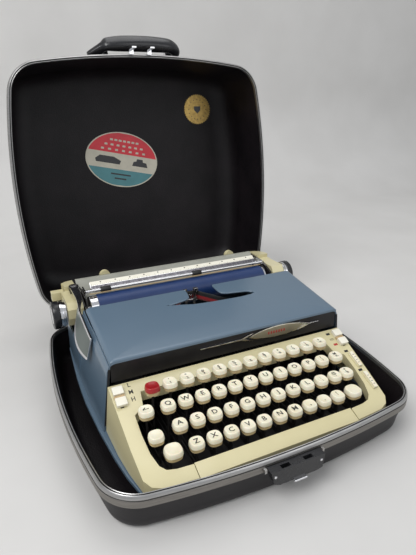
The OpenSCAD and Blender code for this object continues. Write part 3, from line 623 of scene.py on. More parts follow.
def make_lid_labels():
    """A generic oval label and a round foil seal inside the lid."""
    hinge = pivot("lid_hinge")
    ceiling = hinge.z + LID_HEIGHT - LID_WALL - 0.35

    def on_lid(x, reach, turn):
        """Maps label coordinates to the closed lid's ceiling; reach is measured from the hinge."""
        c, s = math.cos(turn), math.sin(turn)
        return lambda u, v, h=0: (x + u * c - v * s, hinge.y - reach - (u * s + v * c), ceiling - h)

    def oval(a, b, low=-1.0, high=1.0, count=40):
        """Oval band between two heights, given as shares of its half height."""
        t0, t1 = math.asin(low), math.asin(high)
        right = [(a * math.cos(t), b * math.sin(t))
                 for t in (t0 + (t1 - t0) * i / count for i in range(count + 1))]
        return right + [(-x, y) for x, y in reversed(right)]

    put = on_lid(-15, 220, math.radians(-12))
    label = Solid("label_cream", "label_red", "label_teal", "label_ink")
    label.prism(oval(61, 44), put, 0.25)
    for look, low, high in (("label_red", 0.22, 0.985), ("label_teal", -0.985, -0.38)):
        label.use(look).prism(oval(59, 42.5, low, high), lifted(put, 0.25), 0.06)
    label.use("label_cream")
    for v, width in ((30, 26), (22, 36), (14.5, 42)):
        for k in range(-3, 4):
            u = k * width / 3.6
            label.prism([(u - 2.6, v - 1.5), (u + 2.6, v - 1.5), (u + 2.2, v + 1.5), (u - 2.2, v + 1.5)],
                        lifted(put, 0.31), 0.05)
    label.use("label_ink")
    # plain drawings of a closed case and of an open machine
    case = [(-24, -8), (20, -8), (22, -2), (8, 3), (-18, 3), (-26, -3)]
    machine = [(-14, -7), (16, -7), (13, 0), (6, 1), (5, 5), (-6, 5), (-7, 1), (-12, 0)]
    for shape, shift in ((case, -22), (machine, 30)):
        label.prism([(u * 0.9 + shift, v) for u, v in shape], lifted(put, 0.26), 0.06)
    for v, half in ((-24, 17), (-31, 10)):
        label.prism(rectangle(-half, v - 1.2, half, v + 1.2), lifted(put, 0.31), 0.05)
    label.place("lid_label", "lid", "case_shell", matrix=opened())

    put_seal = on_lid(126, 297, 0)
    teeth, radius = 40, 24
    reach = [radius - 0.9, radius + 0.9] * teeth
    rim = [(r * math.cos(t), r * math.sin(t)) for r, t in zip(reach, turns(2 * teeth))]
    seal = Solid("gold_foil", "label_ink")
    seal.prism(rim, put_seal, 0.3)
    for r0, r1 in ((19.0, 20.2), (12.0, 12.8)):
        ring = [[put_seal(r * math.cos(t), r * math.sin(t), h) for t in turns(64)]
                for r, h in ((r0, 0.3), (r0, 0.55), (r1, 0.55), (r1, 0.3))]
        seal.loft(ring, ring=True)
    seal.use("label_ink")
    shield = [(-6, 5), (6, 5), (6, -1), (0, -7), (-6, -1)]
    seal.prism(shield, lifted(put_seal, 0.3), 0.1)
    for t in turns(16):
        seal.prism([(u * math.cos(t) - v * math.sin(t), u * math.sin(t) + v * math.cos(t))
                    for u, v in rectangle(15.2, -0.6, 17, 0.6)], lifted(put_seal, 0.3), 0.08)
    seal.place("lid_seal", "lid", "case_rim", matrix=opened())


# ---------- body ----------

def make_body():
    dress("chassis", "frame_enamel", 0.3)
    make_body_shell()
    make_ribbon_cover()
    dress("front_panel", "panel_black", 0.3)
    dress("keyboard_surround", "cream", 1.3, 4, 25)
    make_medallion()
    make_surround_trim()


COVER_SLOPE = math.atan(11.9 / 99.7)
COVER_FRONT = -53.4
EDGE_R = 9.0
EDGE_MIDDLE = 139.0


def cover_height(y):
    return 115.3 + (y - COVER_FRONT) * math.tan(COVER_SLOPE)


def edge_drop(x):
    """How far the body's rounded top edge has fallen at a distance x from the middle."""
    over = min(max(abs(x) - EDGE_MIDDLE, 0), EDGE_R - 0.05)
    return EDGE_R - math.sqrt(EDGE_R ** 2 - over ** 2)


def make_body_shell():
    """Sides that rise from a ledge and curve over to meet the cover, and the low front lip."""
    # stations round the right half: top x, y, z, then the wall's foot x, y, then the ledge x, y
    half = [(50, -167, 31.2, 50.2, -167.4, 51, -168.3), (95, -166.5, 31.2, 95.2, -166.9, 96.5, -167.8),
            (128, -162.4, 31.2, 128.4, -162.8, 130, -164),
            (140, -157.2, 31.2, 140.4, -157.6, 142, -158.8),
            (144.6, -148.4, 31.2, 145, -148.6, 147, -149.4),
            (149.8, -124, 31.2, 150.2, -124, 153.2, -124), (153, -96, 31.2, 153.4, -96, 157.4, -96),
            (155.6, -53.4, 31.2, 156, -53.4, 161.4, -53.4),
            (147.7, -53, 112.3, 157.6, -53, 161.5, -53), (147.9, -25, 115.7, 158.9, -25, 163.2, -25),
            (148.05, 2.5, 119, 159.9, 2.5, 164.6, 2.5), (148.2, 30, 122.3, 160.1, 30, 164.6, 30),
            (148.4, 58, 125.7, 160, 58, 163.7, 58), (157.6, 58.4, 76, 160.1, 58.4, 163.8, 58.4),
            (157.6, 96, 76, 159.2, 96, 161.4, 96), (157.5, 134, 76, 157.8, 134.6, 158.6, 136),
            (150, 144, 76, 150.3, 144.6, 151.5, 147), (60, 146, 76, 60.1, 146.5, 61, 149)]
    shares = [k / 10 for k in range(1, 10)]
    roof = [7.5, 6, 4.8, 3.9, 3.3]

    def section(s):
        """Points of one station from the ledge's underside over the wall to its inside."""
        top, foot, ledge = Vector(s[:3]), Vector((s[3], s[4], 30.6)), Vector((s[5], s[6], 30.2))
        tall = s[2] > 100
        low = Vector((s[5], s[6], 27.5))
        out = [low, low.lerp(ledge, 0.6), ledge + (foot - ledge) * 0.08 + Vector((0, 0, 0.25)),
               ledge + (foot - ledge) * 0.5 + Vector((0, 0, 0.35))]
        last = top - Vector((0, 0, 8.8 if tall else 0.02))
        last.x += (foot.x - top.x) * (8.8 / (top.z - foot.z)) if tall else 0
        out += [foot.lerp(last, t) for t in [0.0] + shares] + [last]
        for k, fall in enumerate(roof):
            level = top.z - fall if tall else top.z - 0.02 + 0.003 * k
            over = math.sqrt(max(EDGE_R ** 2 - (EDGE_R - fall) ** 2, 0))
            # the rear leaves room for the cover's end, which tips down as the cover opens
            nearest = 147.4 if top.y > 29 else EDGE_MIDDLE
            x = min(max(EDGE_MIDDLE + over, nearest), last.x) if tall else top.x
            out.append(Vector((x, top.y, level)))
        thick = 2.0 if abs(top.x) > 120 else 0
        front = 1.2 if top.y < -150 else (-2.0 if top.y > 140 else 0)
        inner = Vector((-thick, front, 0))
        end = out[-1]
        return out + [end + inner * 0.6 + Vector((0, 0, 0.001)), last + inner, foot + inner,
                      Vector((foot.x, foot.y, 27.5)) + inner]

    right = [section(s) for s in half]
    around = right + [[Vector((-p.x, p.y, p.z)) for p in one] for one in reversed(right)]
    shell = Solid("body_blue")
    shell.loft([[one[k] for one in around] for k in range(len(around[0]))], ring=True)
    shell.place("body_sides", "root", "body_paint", ["body_shell"], smooth=32)
    # dark front edge of both side walls, beside the panel
    edge = Solid("panel_black")
    for side in (-1, 1):
        ends = ((156.6, 38), (147.6, 106))
        edge.loft([[(side * (x - w), y, z) for (x, z), w in zip(ends + ends[::-1], (0.2, 0.2, 2.2, 2.2))]
                   for y in (-53.9, -53.0)])
    edge.place("wall_edges", "root", "body_paint")


def make_ribbon_cover():
    """Cover plate with rounded sides and a rolled front edge; its opening has two flaps."""
    # the opening reaches the rear edge, so its edge and the plate's make one outline
    opening = [(22, 106), (22.6, 90), (25, 84), (30, 81.4), (40, 80), (58, 77), (64, 72.5), (66, 69.0),
               (60, 67.2), (45, 66), (20, 67), (0, 68), (-20, 70), (-37, 74.6), (-54, 78), (-38, 81),
               (-24, 84.6), (-20, 89), (-18.6, 96), (-18, 106)]
    half_w, rear = 145.4, 106
    # these points lie on the straight sides and settle how the face is split into triangles
    split = (92, 94)
    outline = ([(-half_w, 0), (half_w, 0)] + [(half_w, v) for v in split] + [(half_w, rear)] + opening
               + [(-half_w, rear)] + [(-half_w, v) for v in split[::-1]])
    curve = bpy.data.curves.new("cover", "CURVE")
    curve.dimensions = "2D"
    curve.fill_mode = "BOTH"
    spline = curve.splines.new("POLY")
    spline.points.add(len(outline) - 1)
    for point, (u, v) in zip(spline.points, outline):
        point.co = (u, v, 0, 1)
    spline.use_cyclic_u = True
    cover = Solid("body_blue", "frame_enamel")
    bm = cover.bm
    flat = flat_mesh(curve)
    bm.from_mesh(flat)
    bpy.data.meshes.remove(flat)
    cuts = [((u, 0, 0), (1, 0, 0)) for side in (-1, 1)
            for u in (side * w for w in (139, 140.5, 142, 143.2, 144.4, 145.2))]
    cuts += [((0, v, 0), (0, 1, 0)) for v in (0.5, 1.2, 2.2, 3.6, 30, 60)]
    for place, normal in cuts:
        bmesh.ops.bisect_plane(bm, geom=bm.verts[:] + bm.edges[:] + bm.faces[:],
                               plane_co=place, plane_no=normal)
    for vert in bm.verts:
        u, v = vert.co.x, vert.co.y
        roll = max(3.6 - v, 0) / 3.6
        fall = edge_drop(u) + 1.9 * (1 - math.sqrt(max(1 - roll ** 2, 0)))
        y = COVER_FRONT + v * math.cos(COVER_SLOPE)
        vert.co = (u, y, cover_height(y) - fall)
    under = bmesh.ops.extrude_face_region(bm, geom=bm.faces[:])
    lowered = [g for g in under["geom"] if isinstance(g, bmesh.types.BMVert)]
    bmesh.ops.translate(bm, verts=lowered, vec=(0, 0, -2.2))
    front_y = -53.3
    cover.use("frame_enamel")
    for side in (-1, 1):
        x = side * 138.6
        cover.prism([(36, 113.5), (50, 113.5), (50, 124.6), (36, 122.9)], upright(x - 1), 2)
    cover.use("body_blue").block((-145, front_y, cover_height(front_y) - 3.4),
                                 (145, front_y + 2.0, cover_height(front_y) - 2.2))
    # rolled lips of the two flaps
    for run in ([(30, 81.2), (45, 79.0), (58, 76.9), (64, 72.8)],
                [(-18.4, 104), (-18.8, 96), (-20.2, 89), (-24, 84.8), (-38, 81.2), (-50, 78.9)],
                [(22.2, 104), (22.8, 92), (25, 84.3), (30, 81.4)]):
        path = []
        for u, v in smooth_path(run, 4):
            y = COVER_FRONT + v * math.cos(COVER_SLOPE)
            path.append((u, y, cover_height(y) - 1.05))
        cover.tube(path, 1.25, 10)
    cover.place("cover_plate", "cover", "body_paint", ["ribbon_cover"], smooth=40)


def make_medallion():
    """Eye-shaped badge with an arrow's shaft, head and tail, and a red bar in place of a name."""
    face_y = corners("front_panel")[0].y
    z0 = 103.4

    def on_panel(u, v, h):
        return (u, face_y - h, z0 + v)

    def eye(half, height, count=18):
        up = [(59 + half * (2 * i / count - 1), height * (1 - (2 * i / count - 1) ** 2) ** 0.85)
              for i in range(count + 1)]
        return up + [(x, -z) for x, z in reversed(up[1:-1])]

    badge = Solid("badge", "chrome", "red_mark", "panel_black")
    badge.use("chrome").prism(eye(41, 7.6), on_panel, 0.5)
    badge.use("badge").prism(eye(38.5, 6.6), lifted(on_panel, 0.5), 0.15)
    badge.use("red_mark")
    for k in range(7):
        u = 44 + k * 3.6
        badge.prism(rectangle(u, -1.7, u + 1.9, 1.7), lifted(on_panel, 0.65), 0.1)
    badge.use("chrome")
    shaft = [(-44, 0.1), (-20, -0.3), (8, -0.8), (12, -1.2), (12, 1.2), (8, 0.8), (-20, 0.8), (-44, 1.1)]
    badge.prism(shaft, on_panel, 0.9)
    for up in (1, -1):
        badge.prism([(5, up * 0.2), (20, up * 4.6), (24, up * 4.9), (12, up * 0.3)], on_panel, 0.9)
        badge.prism([(94, up * 0.3), (86, up * 5.0), (90, up * 4.7), (104, up * 0.6), (101, up * 0.2)],
                    on_panel, 0.9)
    badge.prism([(98, -0.9), (116, -0.1), (118, 0.5), (116, 0.8), (98, 0.9)], on_panel, 0.9)
    badge.place("panel_badge", "root", "panel", bevel=0.12, steps=1)


# the key surround's top: a point on it, the direction up its slope and its normal
DECK_SLOPE = math.atan(0.4184)
DECK_ORIGIN = Vector((0, -157.5, 43.3))
DECK_UP = Vector((0, math.cos(DECK_SLOPE), math.sin(DECK_SLOPE)))
DECK_NORMAL = Vector((0, -math.sin(DECK_SLOPE), math.cos(DECK_SLOPE)))


def deck_point(x, y, lift=0.0):
    """Point over the surround's top at a plan position, lifted along its normal."""
    return (Vector((x, 0, 0)) + DECK_ORIGIN + DECK_UP * ((y - DECK_ORIGIN.y) / DECK_UP.y)
            + DECK_NORMAL * lift)


def deck_block(solid, plan, low, high):
    """Block over a plan rectangle, standing square on the surround's slope."""
    solid.loft([[deck_point(x, y, h) for x, y in plan] for h in (low, high)])


def make_surround_trim():
    def flat(x, y):
        return lambda u, v, h=0.0: deck_point(x + u, y + v, 0.06 + h)

    marks = Solid("legend", "red_mark", "white_plastic")
    for text, y in (("L", -58), ("M", -66), ("H", -74)):
        marks.stamp(text, 6.5, flat(-128.5, y))
    for x, y, look in ((130.5, -60, "legend"), (131.0, -75.5, "red_mark"), (138.2, -87.2, "legend"),
                       (138.6, -113.8, "legend")):
        marks.use(look).prism(rectangle(-2.72, -1.4, 2.72, 1.4), flat(x, y), 0.08)
    marks.use("legend")
    for k in range(5):
        u = -2.4 + k * 1.2
        marks.prism(rectangle(u - 0.2, -1.4, u + 0.2, 1.4), flat(130.8, -68), 0.08)
    marks.place("surround_marks", "root", "surround")
    # raised slides, each on a low cream plate and with four small marks across it
    for index, (x, y0, y1) in enumerate(((141.0, -110, -91), (140.2, -138.5, -118))):
        slide = Solid("key_ivory", "cream", "legend")
        for look, half, lift in (("key_ivory", 2.3, 3.6), ("cream", 3.4, 0.8)):
            deck_block(slide.use(look), rectangle(x - half, y0, x + half, y1), 0.02, lift)
        for k in range(4):
            y = y0 + 4 + k * 3.6
            deck_block(slide.use("legend"), rectangle(x - 1.1, y - 0.3, x + 1.1, y + 0.3), 3.5, 3.7)
        slide.place(f"tabulator_slide_{index + 1}", "root", "surround", bevel=0.5)


# ---------- carriage ----------

def make_carriage():
    dress("carriage_frame", "frame_enamel", 0.3)
    dress("carriage_end_caps", "cream", 1.6, 4, 25)
    dress("paper_table", "pale_enamel", 0.25)
    dress("carriage_release", "cream", 1.2, 3)
    for node in ("margin_stop_left", "margin_stop_right"):
        dress(node, "cream", 0.7, 3)
    make_platen()
    make_knobs()
    make_bail()
    make_return_lever()
    make_end_works()


def make_platen():
    lo, hi = corners("platen")
    centre = pivot("platen_turn")
    radius = (hi.z - lo.z) / 2
    roll = Solid("platen_blue", "chrome", "steel")
    ends = [(0, radius - 5), (0, radius - 0.8), (0.6, radius - 0.4), (2, radius - 0.4)]
    length = hi.x - lo.x
    sleeve = 9.5
    profile = ends + [(sleeve, radius - 0.4), (sleeve + 0.4, radius), (length - 3, radius),
                      (length - 2.6, radius - 0.4), (length, radius - 0.8), (length, radius - 5)]
    looks = ["steel"] + ["chrome"] * 4 + ["platen_blue"] * 2 + ["chrome", "steel"]
    roll.lathe(profile, (lo.x, centre.y, centre.z), (1, 0, 0), 96, looks)
    roll.place("platen_roll", "platen_roll", "platen_rubber", ["platen"], smooth=30)


def make_knobs():
    lo, hi = corners("platen_knobs")
    centre = pivot("platen_turn")
    knob = (hi.z - lo.z) / 2
    knobs = Solid("black_plastic", "chrome", "steel")
    knobs.use("steel").rod((lo.x + 10, centre.y, centre.z), (hi.x - 10, centre.y, centre.z), 4)
    sides = 72
    for start, way in ((lo.x, 1), (hi.x, -1)):
        loops = []
        profile = [(0, knob - 7, 0), (0.9, knob - 6.2, 0), (0.2, knob - 5.2, 0), (0, knob - 1.6, 0),
                   (0.9, knob - 0.4, 0), (1.6, knob, 0.2), (8, knob, 0.2), (8.4, knob - 0.4, 0),
                   (8.6, knob - 1.2, 0), (9.2, knob - 0.7, 0), (12.2, knob - 0.7, 0),
                   (12.6, knob - 1.7, 0), (14.4, knob - 1.7, 0), (14.8, knob - 2.6, 0),
                   (16.6, knob - 2.6, 0), (16.7, 5, 0)]
        for along, radius, ribs in profile:
            reach = [radius, radius - ribs] * (sides // 2)
            loops.append([(start + way * along, centre.y + r * math.cos(t), centre.z + r * math.sin(t))
                          for r, t in zip(reach, turns(sides))])
        knobs.loft(loops, looks=["black_plastic"] * 8 + ["chrome"] * 7)
    knobs.place("knobs", "platen_roll", "knob", ["platen_knobs"], smooth=30)


def make_bail():
    """Rod with two rollers, a scale with tick marks and a ribbed strip in front of it."""
    lo, hi = corners("paper_bail")
    dress("paper_bail", "chrome", 0.25)
    rollers = Solid("black_rubber")
    for x in (-113.7, 18.3):
        rollers.lathe([(0, 2.2), (0, 3.2), (0.6, 3.7), (6.2, 3.9), (12.8, 3.7), (13.4, 3.2), (13.4, 2.2)],
                      (x, 108, 123.4), (1, 0, 0), 32)
    rollers.place("bail_rollers", "bail", "bail", smooth=40)
    # the scale's plate is tilted towards the typist: pale behind, ribbed metal in front
    low, high = Vector((0, 112.0, 123.9)), Vector((0, 121.9, 130.0))
    up = (high - low).normalized()
    out = Vector((0, -up.z, up.y))

    def on_scale(x, share, lift):
        return low + (high - low) * share + out * lift + Vector((x, 0, 0))

    def strip(x0, x1, share0, share1, lift0, lift1):
        scale.loft([[on_scale(x, share, h) for x, share in rectangle(x0, share0, x1, share1)]
                    for h in (lift0, lift1)])

    scale = Solid("white_plastic", "legend", "scale_ribs", "chrome")
    left, right = lo.x + 10.4, hi.x - 10.4
    strip(left, right, 0.44, 1.02, -1.2, 0.5)
    scale.use("scale_ribs")
    strip(left, right, 0.02, 0.40, -1.0, 0.25)
    scale.use("chrome")
    strip(left, right, 0.40, 0.44, -0.6, 0.7)
    scale.use("legend")
    step = 2.54
    for k in range(int((right - left) / step)):
        x = left + (k + 0.5) * step
        top = 0.66 if k % 5 == 0 else 0.56
        strip(x - 0.16, x + 0.16, 0.46, top, 0.4, 0.58)
        if k % 8 == 5:
            scale.rod(on_scale(x, 0.84, 0.4), on_scale(x, 0.84, 0.6), 0.95, 12)
    scale.place("bail_scale", "bail", "bail")
    # thin rod between the rollers' rod and the platen
    wire = Solid("tan_plastic_and_groove_shade")
    wire.rod((lo.x + 6, 104.2, 121.0), (hi.x - 6, 104.2, 121.0), 0.6, 12)
    wire.place("bail_wire", "bail", "bail")


def make_return_lever():
    """Curved blade on edge: a broad arm, a narrow waist and a leaf-shaped paddle."""
    post = pivot("lever_swing")
    # from the boss to the tip: y, then the upper edge's outer x, inner x and z, then the lower's
    stations = [(126, -150.6, -142.0, 127.1, -150.6, -142.0, 124.6),
                (112, -150.4, -141.8, 127.1, -150.4, -141.8, 124.5),
                (98, -150.0, -142.0, 127.0, -150.0, -142.0, 124.2),
                (86, -149.9, -142.8, 126.3, -150.1, -143.2, 122.8),
                (78, -150.3, -144.8, 125.0, -151.4, -146.6, 118.5),
                (70, -151.2, -147.6, 122.8, -154.8, -152.4, 110.0),
                (62, -151.6, -149.6, 120.9, -158.6, -157.0, 101.6),
                (54, -151.7, -149.9, 119.8, -161.2, -159.6, 95.0),
                (46, -151.7, -149.9, 118.7, -162.5, -160.8, 90.4),
                (36, -151.6, -149.9, 117.2, -162.9, -161.1, 87.8),
                (24, -151.6, -149.9, 115.8, -162.2, -160.4, 87.1),
                (12, -151.7, -150.0, 114.9, -160.5, -158.8, 87.4),
                (2.2, -151.8, -150.1, 114.4, -158.4, -156.7, 88.4)]
    fine = smooth_path(stations, 3)
    lever = Solid("lever_face", "chrome", "black_plastic", "steel")
    loops = []
    for y, top_out, top_in, top_z, low_out, low_in, low_z in fine:
        paddle = min(max((74 - y) / 20, 0), 1) * min(max((y - 2) / 6, 0), 1)
        a0, a1 = Vector((top_out, y, top_z)), Vector((low_out, y, low_z))
        b0, b1 = Vector((top_in, y, top_z)), Vector((low_in, y, low_z))
        middle = a0.lerp(a1, 0.5) + Vector((-0.9, 0, -0.3)) * paddle
        # rounded border round a face that is let in
        border, let_in = Vector((-0.5, 0, 0)) * paddle, Vector((0.35, 0, 0)) * paddle
        loops.append([a0.lerp(b0, 0.5), a0, a0.lerp(a1, 0.05) + border, a0.lerp(a1, 0.10) + let_in,
                      middle, a0.lerp(a1, 0.90) + let_in, a0.lerp(a1, 0.95) + border, a1,
                      a1.lerp(b1, 0.5), b1, b0.lerp(b1, 0.5), b0])
    rows = [[lever.bm.verts.new(p) for p in loop] for loop in loops]
    count = len(loops[0])
    for i, (a, b) in enumerate(zip(rows, rows[1:])):
        y = fine[i][0]
        for k in range(count):
            j = (k + 1) % count
            look = "lever_face" if k in (3, 4) and y < 74 else "chrome"
            if k in (0, 11) and y > 66:
                look = "black_plastic"
            lever.use(look).face((a[k], a[j], b[j], b[k]))
    lever.use("chrome").face(rows[0][::-1])
    lever.face(rows[-1])
    lever.use("black_plastic").lathe([(0, 3.1), (0, 6), (0.5, 6.5), (2.1, 6.5), (2.6, 6), (2.6, 3.1)],
                                     (post.x, post.y, 124.6), (0, 0, 1), 32)
    # ribs across the black grip
    for k in range(22):
        y = 118 - k * 2.1
        lever.block((-149.2, y, 127.0), (-143.2, y + 0.9, 127.5 if y > 86 else 126.6))
    lever.place("return_lever_blade", "lever", "lever_chrome", ["return_lever"], bevel=0.15, steps=1,
                smooth=45)
    screw = Solid("steel")
    screw.lathe([(0, 2.9), (0, 4.2), (0.8, 4.0), (1.3, 2.4), (1.4, 0.2)], (post.x, post.y, 127.3),
                (0, 0, 1), 24)
    screw.place("lever_screw", "carriage", "lever_chrome")


def smooth_path(stations, steps):
    """Catmull-Rom points through the stations, steps to each stretch."""
    out = []
    for i in range(len(stations) - 1):
        p0, p1 = stations[max(i - 1, 0)], stations[i]
        p2, p3 = stations[i + 1], stations[min(i + 2, len(stations) - 1)]
        for k in range(steps):
            t = k / steps
            out.append(tuple(0.5 * (2 * b + (c - a) * t + (2 * a - 5 * b + 4 * c - d) * t * t
                                    + (3 * b - a - 3 * c + d) * t ** 3)
                             for a, b, c, d in zip(p0, p1, p2, p3)))
    return out + [stations[-1]]


def make_end_works():
    """Small levers, screws and springs between the platen's ends and the end caps."""
    works = Solid("frame_enamel", "steel", "chrome")
    for side in (-1, 1):
        x = side * 137
        works.use("frame_enamel").prism(
            [(96, 104), (112, 96), (128, 98), (136, 110), (130, 119), (112, 121), (100, 114)],
            lambda u, v, h: (x - side * (1.5 + h), u, v), 1.2)
        works.use("steel")
        for y, z, r in ((118, 113, 2.2), (108, 106, 1.8), (127, 108, 2.0)):
            works.lathe([(0, r), (0.8, r), (1.2, r * 0.6)], (x - side * 2.7, y, z), (-side, 0, 0), 20)
        works.prism([(100, 118), (118, 121), (134, 119), (134, 121.6), (118, 123.4), (99, 120)],
                    lambda u, v, h: (x + side * (0.2 - h), u, v), 0.9)
        works.use("chrome").tube([(x - side * 3.4, 104 + k * 0.8, 121.2 + 0.9 * math.sin(k * 1.6))
                                  for k in range(26)], 0.35, 6)
    works.place("carriage_end_works", "carriage", "bright_steel", smooth=40)


# ---------- type basket and ribbon ----------

def make_type_basket():
    dress("type_basket", "steel", 0.15, 1)
    dress("ribbon_spools", "frame_enamel", 0.3)
    make_type_guide()
    make_ribbon()


def make_type_guide():
    """Forked guide with flared tips, the ribbon's carrier and its two small arms."""
    top = corners("type_basket")[1].z
    guide = Solid("chrome", "steel")
    for side in (-1, 1):
        # prong that leans outwards over its last third
        stations = [(4.6, 7.6, 100), (4.6, 7.6, 108), (5.2, 8.6, 113), (6.4, 10.4, top - 0.4),
                    (7.4, 10.6, top)]
        guide.use("chrome").loft([[(side * x, y, z) for x, y in rectangle(a, 72.6, b, 76.4)]
                                  for a, b, z in stations])
        guide.use("steel").prism([(8.5, 96), (12.5, 96), (13.5, 113.5), (9.5, 113.5)],
                                 lambda u, v, h: (side * u, 77.6 + h, v), 0.8)
        for z in (101, 110):
            guide.rod((side * 9, 76, z), (side * 13, 79, z), 0.9, 12)
    guide.use("chrome").block((-7.4, 73.2, 99), (7.4, 75.2, 101.5))
    guide.block((-2.2, 73.6, 101), (-0.4, 75.4, 109))
    guide.block((0.8, 73.6, 101), (2.6, 75.4, 107.5))
    guide.place("type_guide", "basket", "bright_steel", bevel=0.3)


def make_ribbon():
    """Two-coloured cloth: rolls on both spools and one run between them through the guide."""
    roll_x, roll_y, roll_low = 92, 4, corners("ribbon")[0].z
    rolls = Solid("ribbon_red", "ribbon_black")
    for side in (-1, 1):
        for look, z0, z1 in (("ribbon_red", 0, 6.5), ("ribbon_black", 6.5, 13)):
            rolls.use(look).lathe([(z0, 8.1), (z0, 19.8), (z0 + 0.4, 20), (z1 - 0.4, 20), (z1, 19.8),
                                   (z1, 8.1)], (side * roll_x, roll_y, roll_low), (0, 0, 1), 64)
    rolls.place("ribbon_rolls", "root", "ribbon_cloth", ["ribbon"], smooth=40)
    half = [(76.5, 17.2, 85.4), (69.5, 25.2, 85.6), (62, 33.2, 88.5), (46, 46.9, 91.5),
            (28, 62.4, 94.9), (9, 79.0, 98.5)]
    line = smooth_path(half, 4)
    path = line + [(-x, y, z) for x, y, z in reversed(line)]
    height = 13
    run = Solid("ribbon_red", "ribbon_black")
    rows = [[run.bm.verts.new((x, y, z + height * k / 4)) for k in range(5)] for x, y, z in path]
    for a, b in zip(rows, rows[1:]):
        for k in range(4):
            run.use("ribbon_red" if k < 2 else "ribbon_black").face((a[k], b[k], b[k + 1], a[k + 1]))
    piece = run.place("ribbon_run", "root", "ribbon_cloth", smooth=60)
    thick = piece.modifiers.new("thickness", "SOLIDIFY")
    thick.thickness = 0.25 * MM


# ---------- controls ----------

def make_controls():
    for node in ("touch_selector", "ribbon_selector"):
        dress(node, "white_plastic", 0.6, 3)
        lo, hi = corners(node)
        # tan block over the middle of each selector: painted shade standing for its finger groove
        groove_shade = Solid("tan_plastic_and_groove_shade")
        y = -69.0
        middle = (lo.x + hi.x) / 2
        deck_block(groove_shade, rectangle(middle - 5.6, y - 1.9, middle + 5.6, y + 1.9), 0.4, 2.5)
        groove_shade.place(node + "_groove_shade", frame["nodes"][node]["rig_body"], "control_plastic", bevel=0.2)


# ---------- keys ----------

CAP_W = 15.4
CAP_H = 9.0
DISH = 0.85


def cap_loop(half, z, power, count=40):
    """Rounded square of that half width; a higher power has squarer corners."""
    return [(half * squared(math.cos(t), 2 / power), half * squared(math.sin(t), 2 / power), z)
            for t in turns(count)]


def dish_depth(u, v, half):
    """How far the dished top lies under the rim's height."""
    share = min(math.hypot(u, v) / (half * 0.80), 1)
    return DISH * (1 - share ** 2)


def key_piece(name, body, centre, width=CAP_W, legend="", tint="key_ivory", replaces=(),
              lever_x=None):
    """One key: a cap with a dished top and a tan lower skirt that is painted shade under the cap's
    overhang, its legend, and the steel lever under it.
    """
    half = width / 2
    key = Solid(tint, "key_skirt_painted_shade", "legend", "key_lever")
    lower = [(0.90, -9), (0.93, -8.8), (0.95, -7.6), (0.965, -5.3)]
    upper = [(0.995, -5.0), (0.985, -3.6), (0.955, -2.0), (0.915, -0.8), (0.88, -0.25), (0.83, 0)]
    dish = [(0.80 * k / 5, -DISH * (1 - (k / 5) ** 2)) for k in (5, 4, 3, 2, 1)]
    loops = [[centre + Vector(p) for p in cap_loop(half * s, z, power)]
             for rings, power in ((lower + upper, 2.7), (dish, 2.3)) for s, z in rings]
    # the lower rings take the skirt's painted shade, the rest the cap's own colour
    looks = ["key_skirt_painted_shade"] * len(lower) + [tint] * (len(loops) - len(lower) - 1)
    key.loft(loops, looks=looks, ends=False)
    key.close_ends(len(loops[0]), "key_skirt_painted_shade", tint)

    def on_top(u, v):
        return centre + Vector((u, v, 0.05 - dish_depth(u, v, half)))
    if legend:
        key.use("legend")
        for k, line in enumerate(legend.split("|")):
            two = "|" in legend
            rise = (2.2 - 4.4 * k) if two else 0.2
            key.stamp(line, 5.6 if two else 8.6, lambda u, v: on_top(u, v + rise))
    fulcrum = pivot("press_Q")
    stem_x = centre.x if lever_x is None else lever_x
    foot_y, top_z = centre.y, centre.z - CAP_H
    outline = [(fulcrum.y, fulcrum.z - 3.4), (foot_y + 6, 31), (foot_y - 1, 32), (foot_y - 2.4, 34),
               (foot_y - 2.4, top_z), (foot_y + 2.4, top_z), (foot_y + 2.4, 39.4),
               (foot_y + 4, 38), (fulcrum.y, fulcrum.z + 3.4), (fulcrum.y + 4, fulcrum.z)]
    key.use("key_lever").prism(outline, upright(stem_x - 0.6), 1.2)
    return key.place(name, body, "key_cap" if tint == "key_ivory" else "red_cap", replaces, smooth=40)


def cap_place(node):
    """Middle of a single key's top."""
    lo, hi = corners(node)
    return Vector(((lo.x + hi.x) / 2, lo.y + CAP_W / 2, hi.z))


def make_keys():
    for letter in "QWERTYUIOPASDFGHJKLZXCVBNM":
        key_piece("cap_" + letter, "letter_" + letter, cap_place("key_" + letter), legend=letter,
                  replaces=["key_" + letter])
    pitch = cap_place("key_W").x - cap_place("key_Q").x
    step = cap_place("key_A") - cap_place("key_Q")
    # places counted in pitches from the first key of each row
    first = {1: cap_place("key_Q"), 2: cap_place("key_A"), 3: cap_place("key_Z")}
    first[0] = Vector((corners("figure_keys")[0].x + CAP_W / 2, first[1].y - step.y,
                       first[1].z - step.z))
    figures = [(0, k, text) for k, text in enumerate(
        ("'|1", "\"|2", "#|3", "$|4", "%|5", "_|6", "&|7", "*|8", "(|9", ")|0", "+|="))]
    signs = [(1, 10, "?|/"), (2, 9, ":|;"), (2, 10, "@|-"), (3, 7, ","), (3, 8, "."), (3, 9, "!|'")]
    for index, (row, column, text) in enumerate(figures + signs):
        place = first[row] + Vector((pitch * column, 0, 0))
        key_piece(f"figure_cap_{index + 1}", "figures", place, legend=text,
                  replaces=["figure_keys"] if index == 0 else ())
    for body, legend, aside in (("tab", "", 0), ("backspace", "\u2190", 0), ("margin_release", "M|R", 0),
                                ("tabulator", "T|B", 2.9)):
        place = cap_place(body + "_key")
        key_piece(body + "_cap", body, place, legend=legend, replaces=[body + "_key"],
                  tint="key_red" if body == "tab" else "key_ivory", lever_x=place.x + aside)
    make_shift_keys(first)


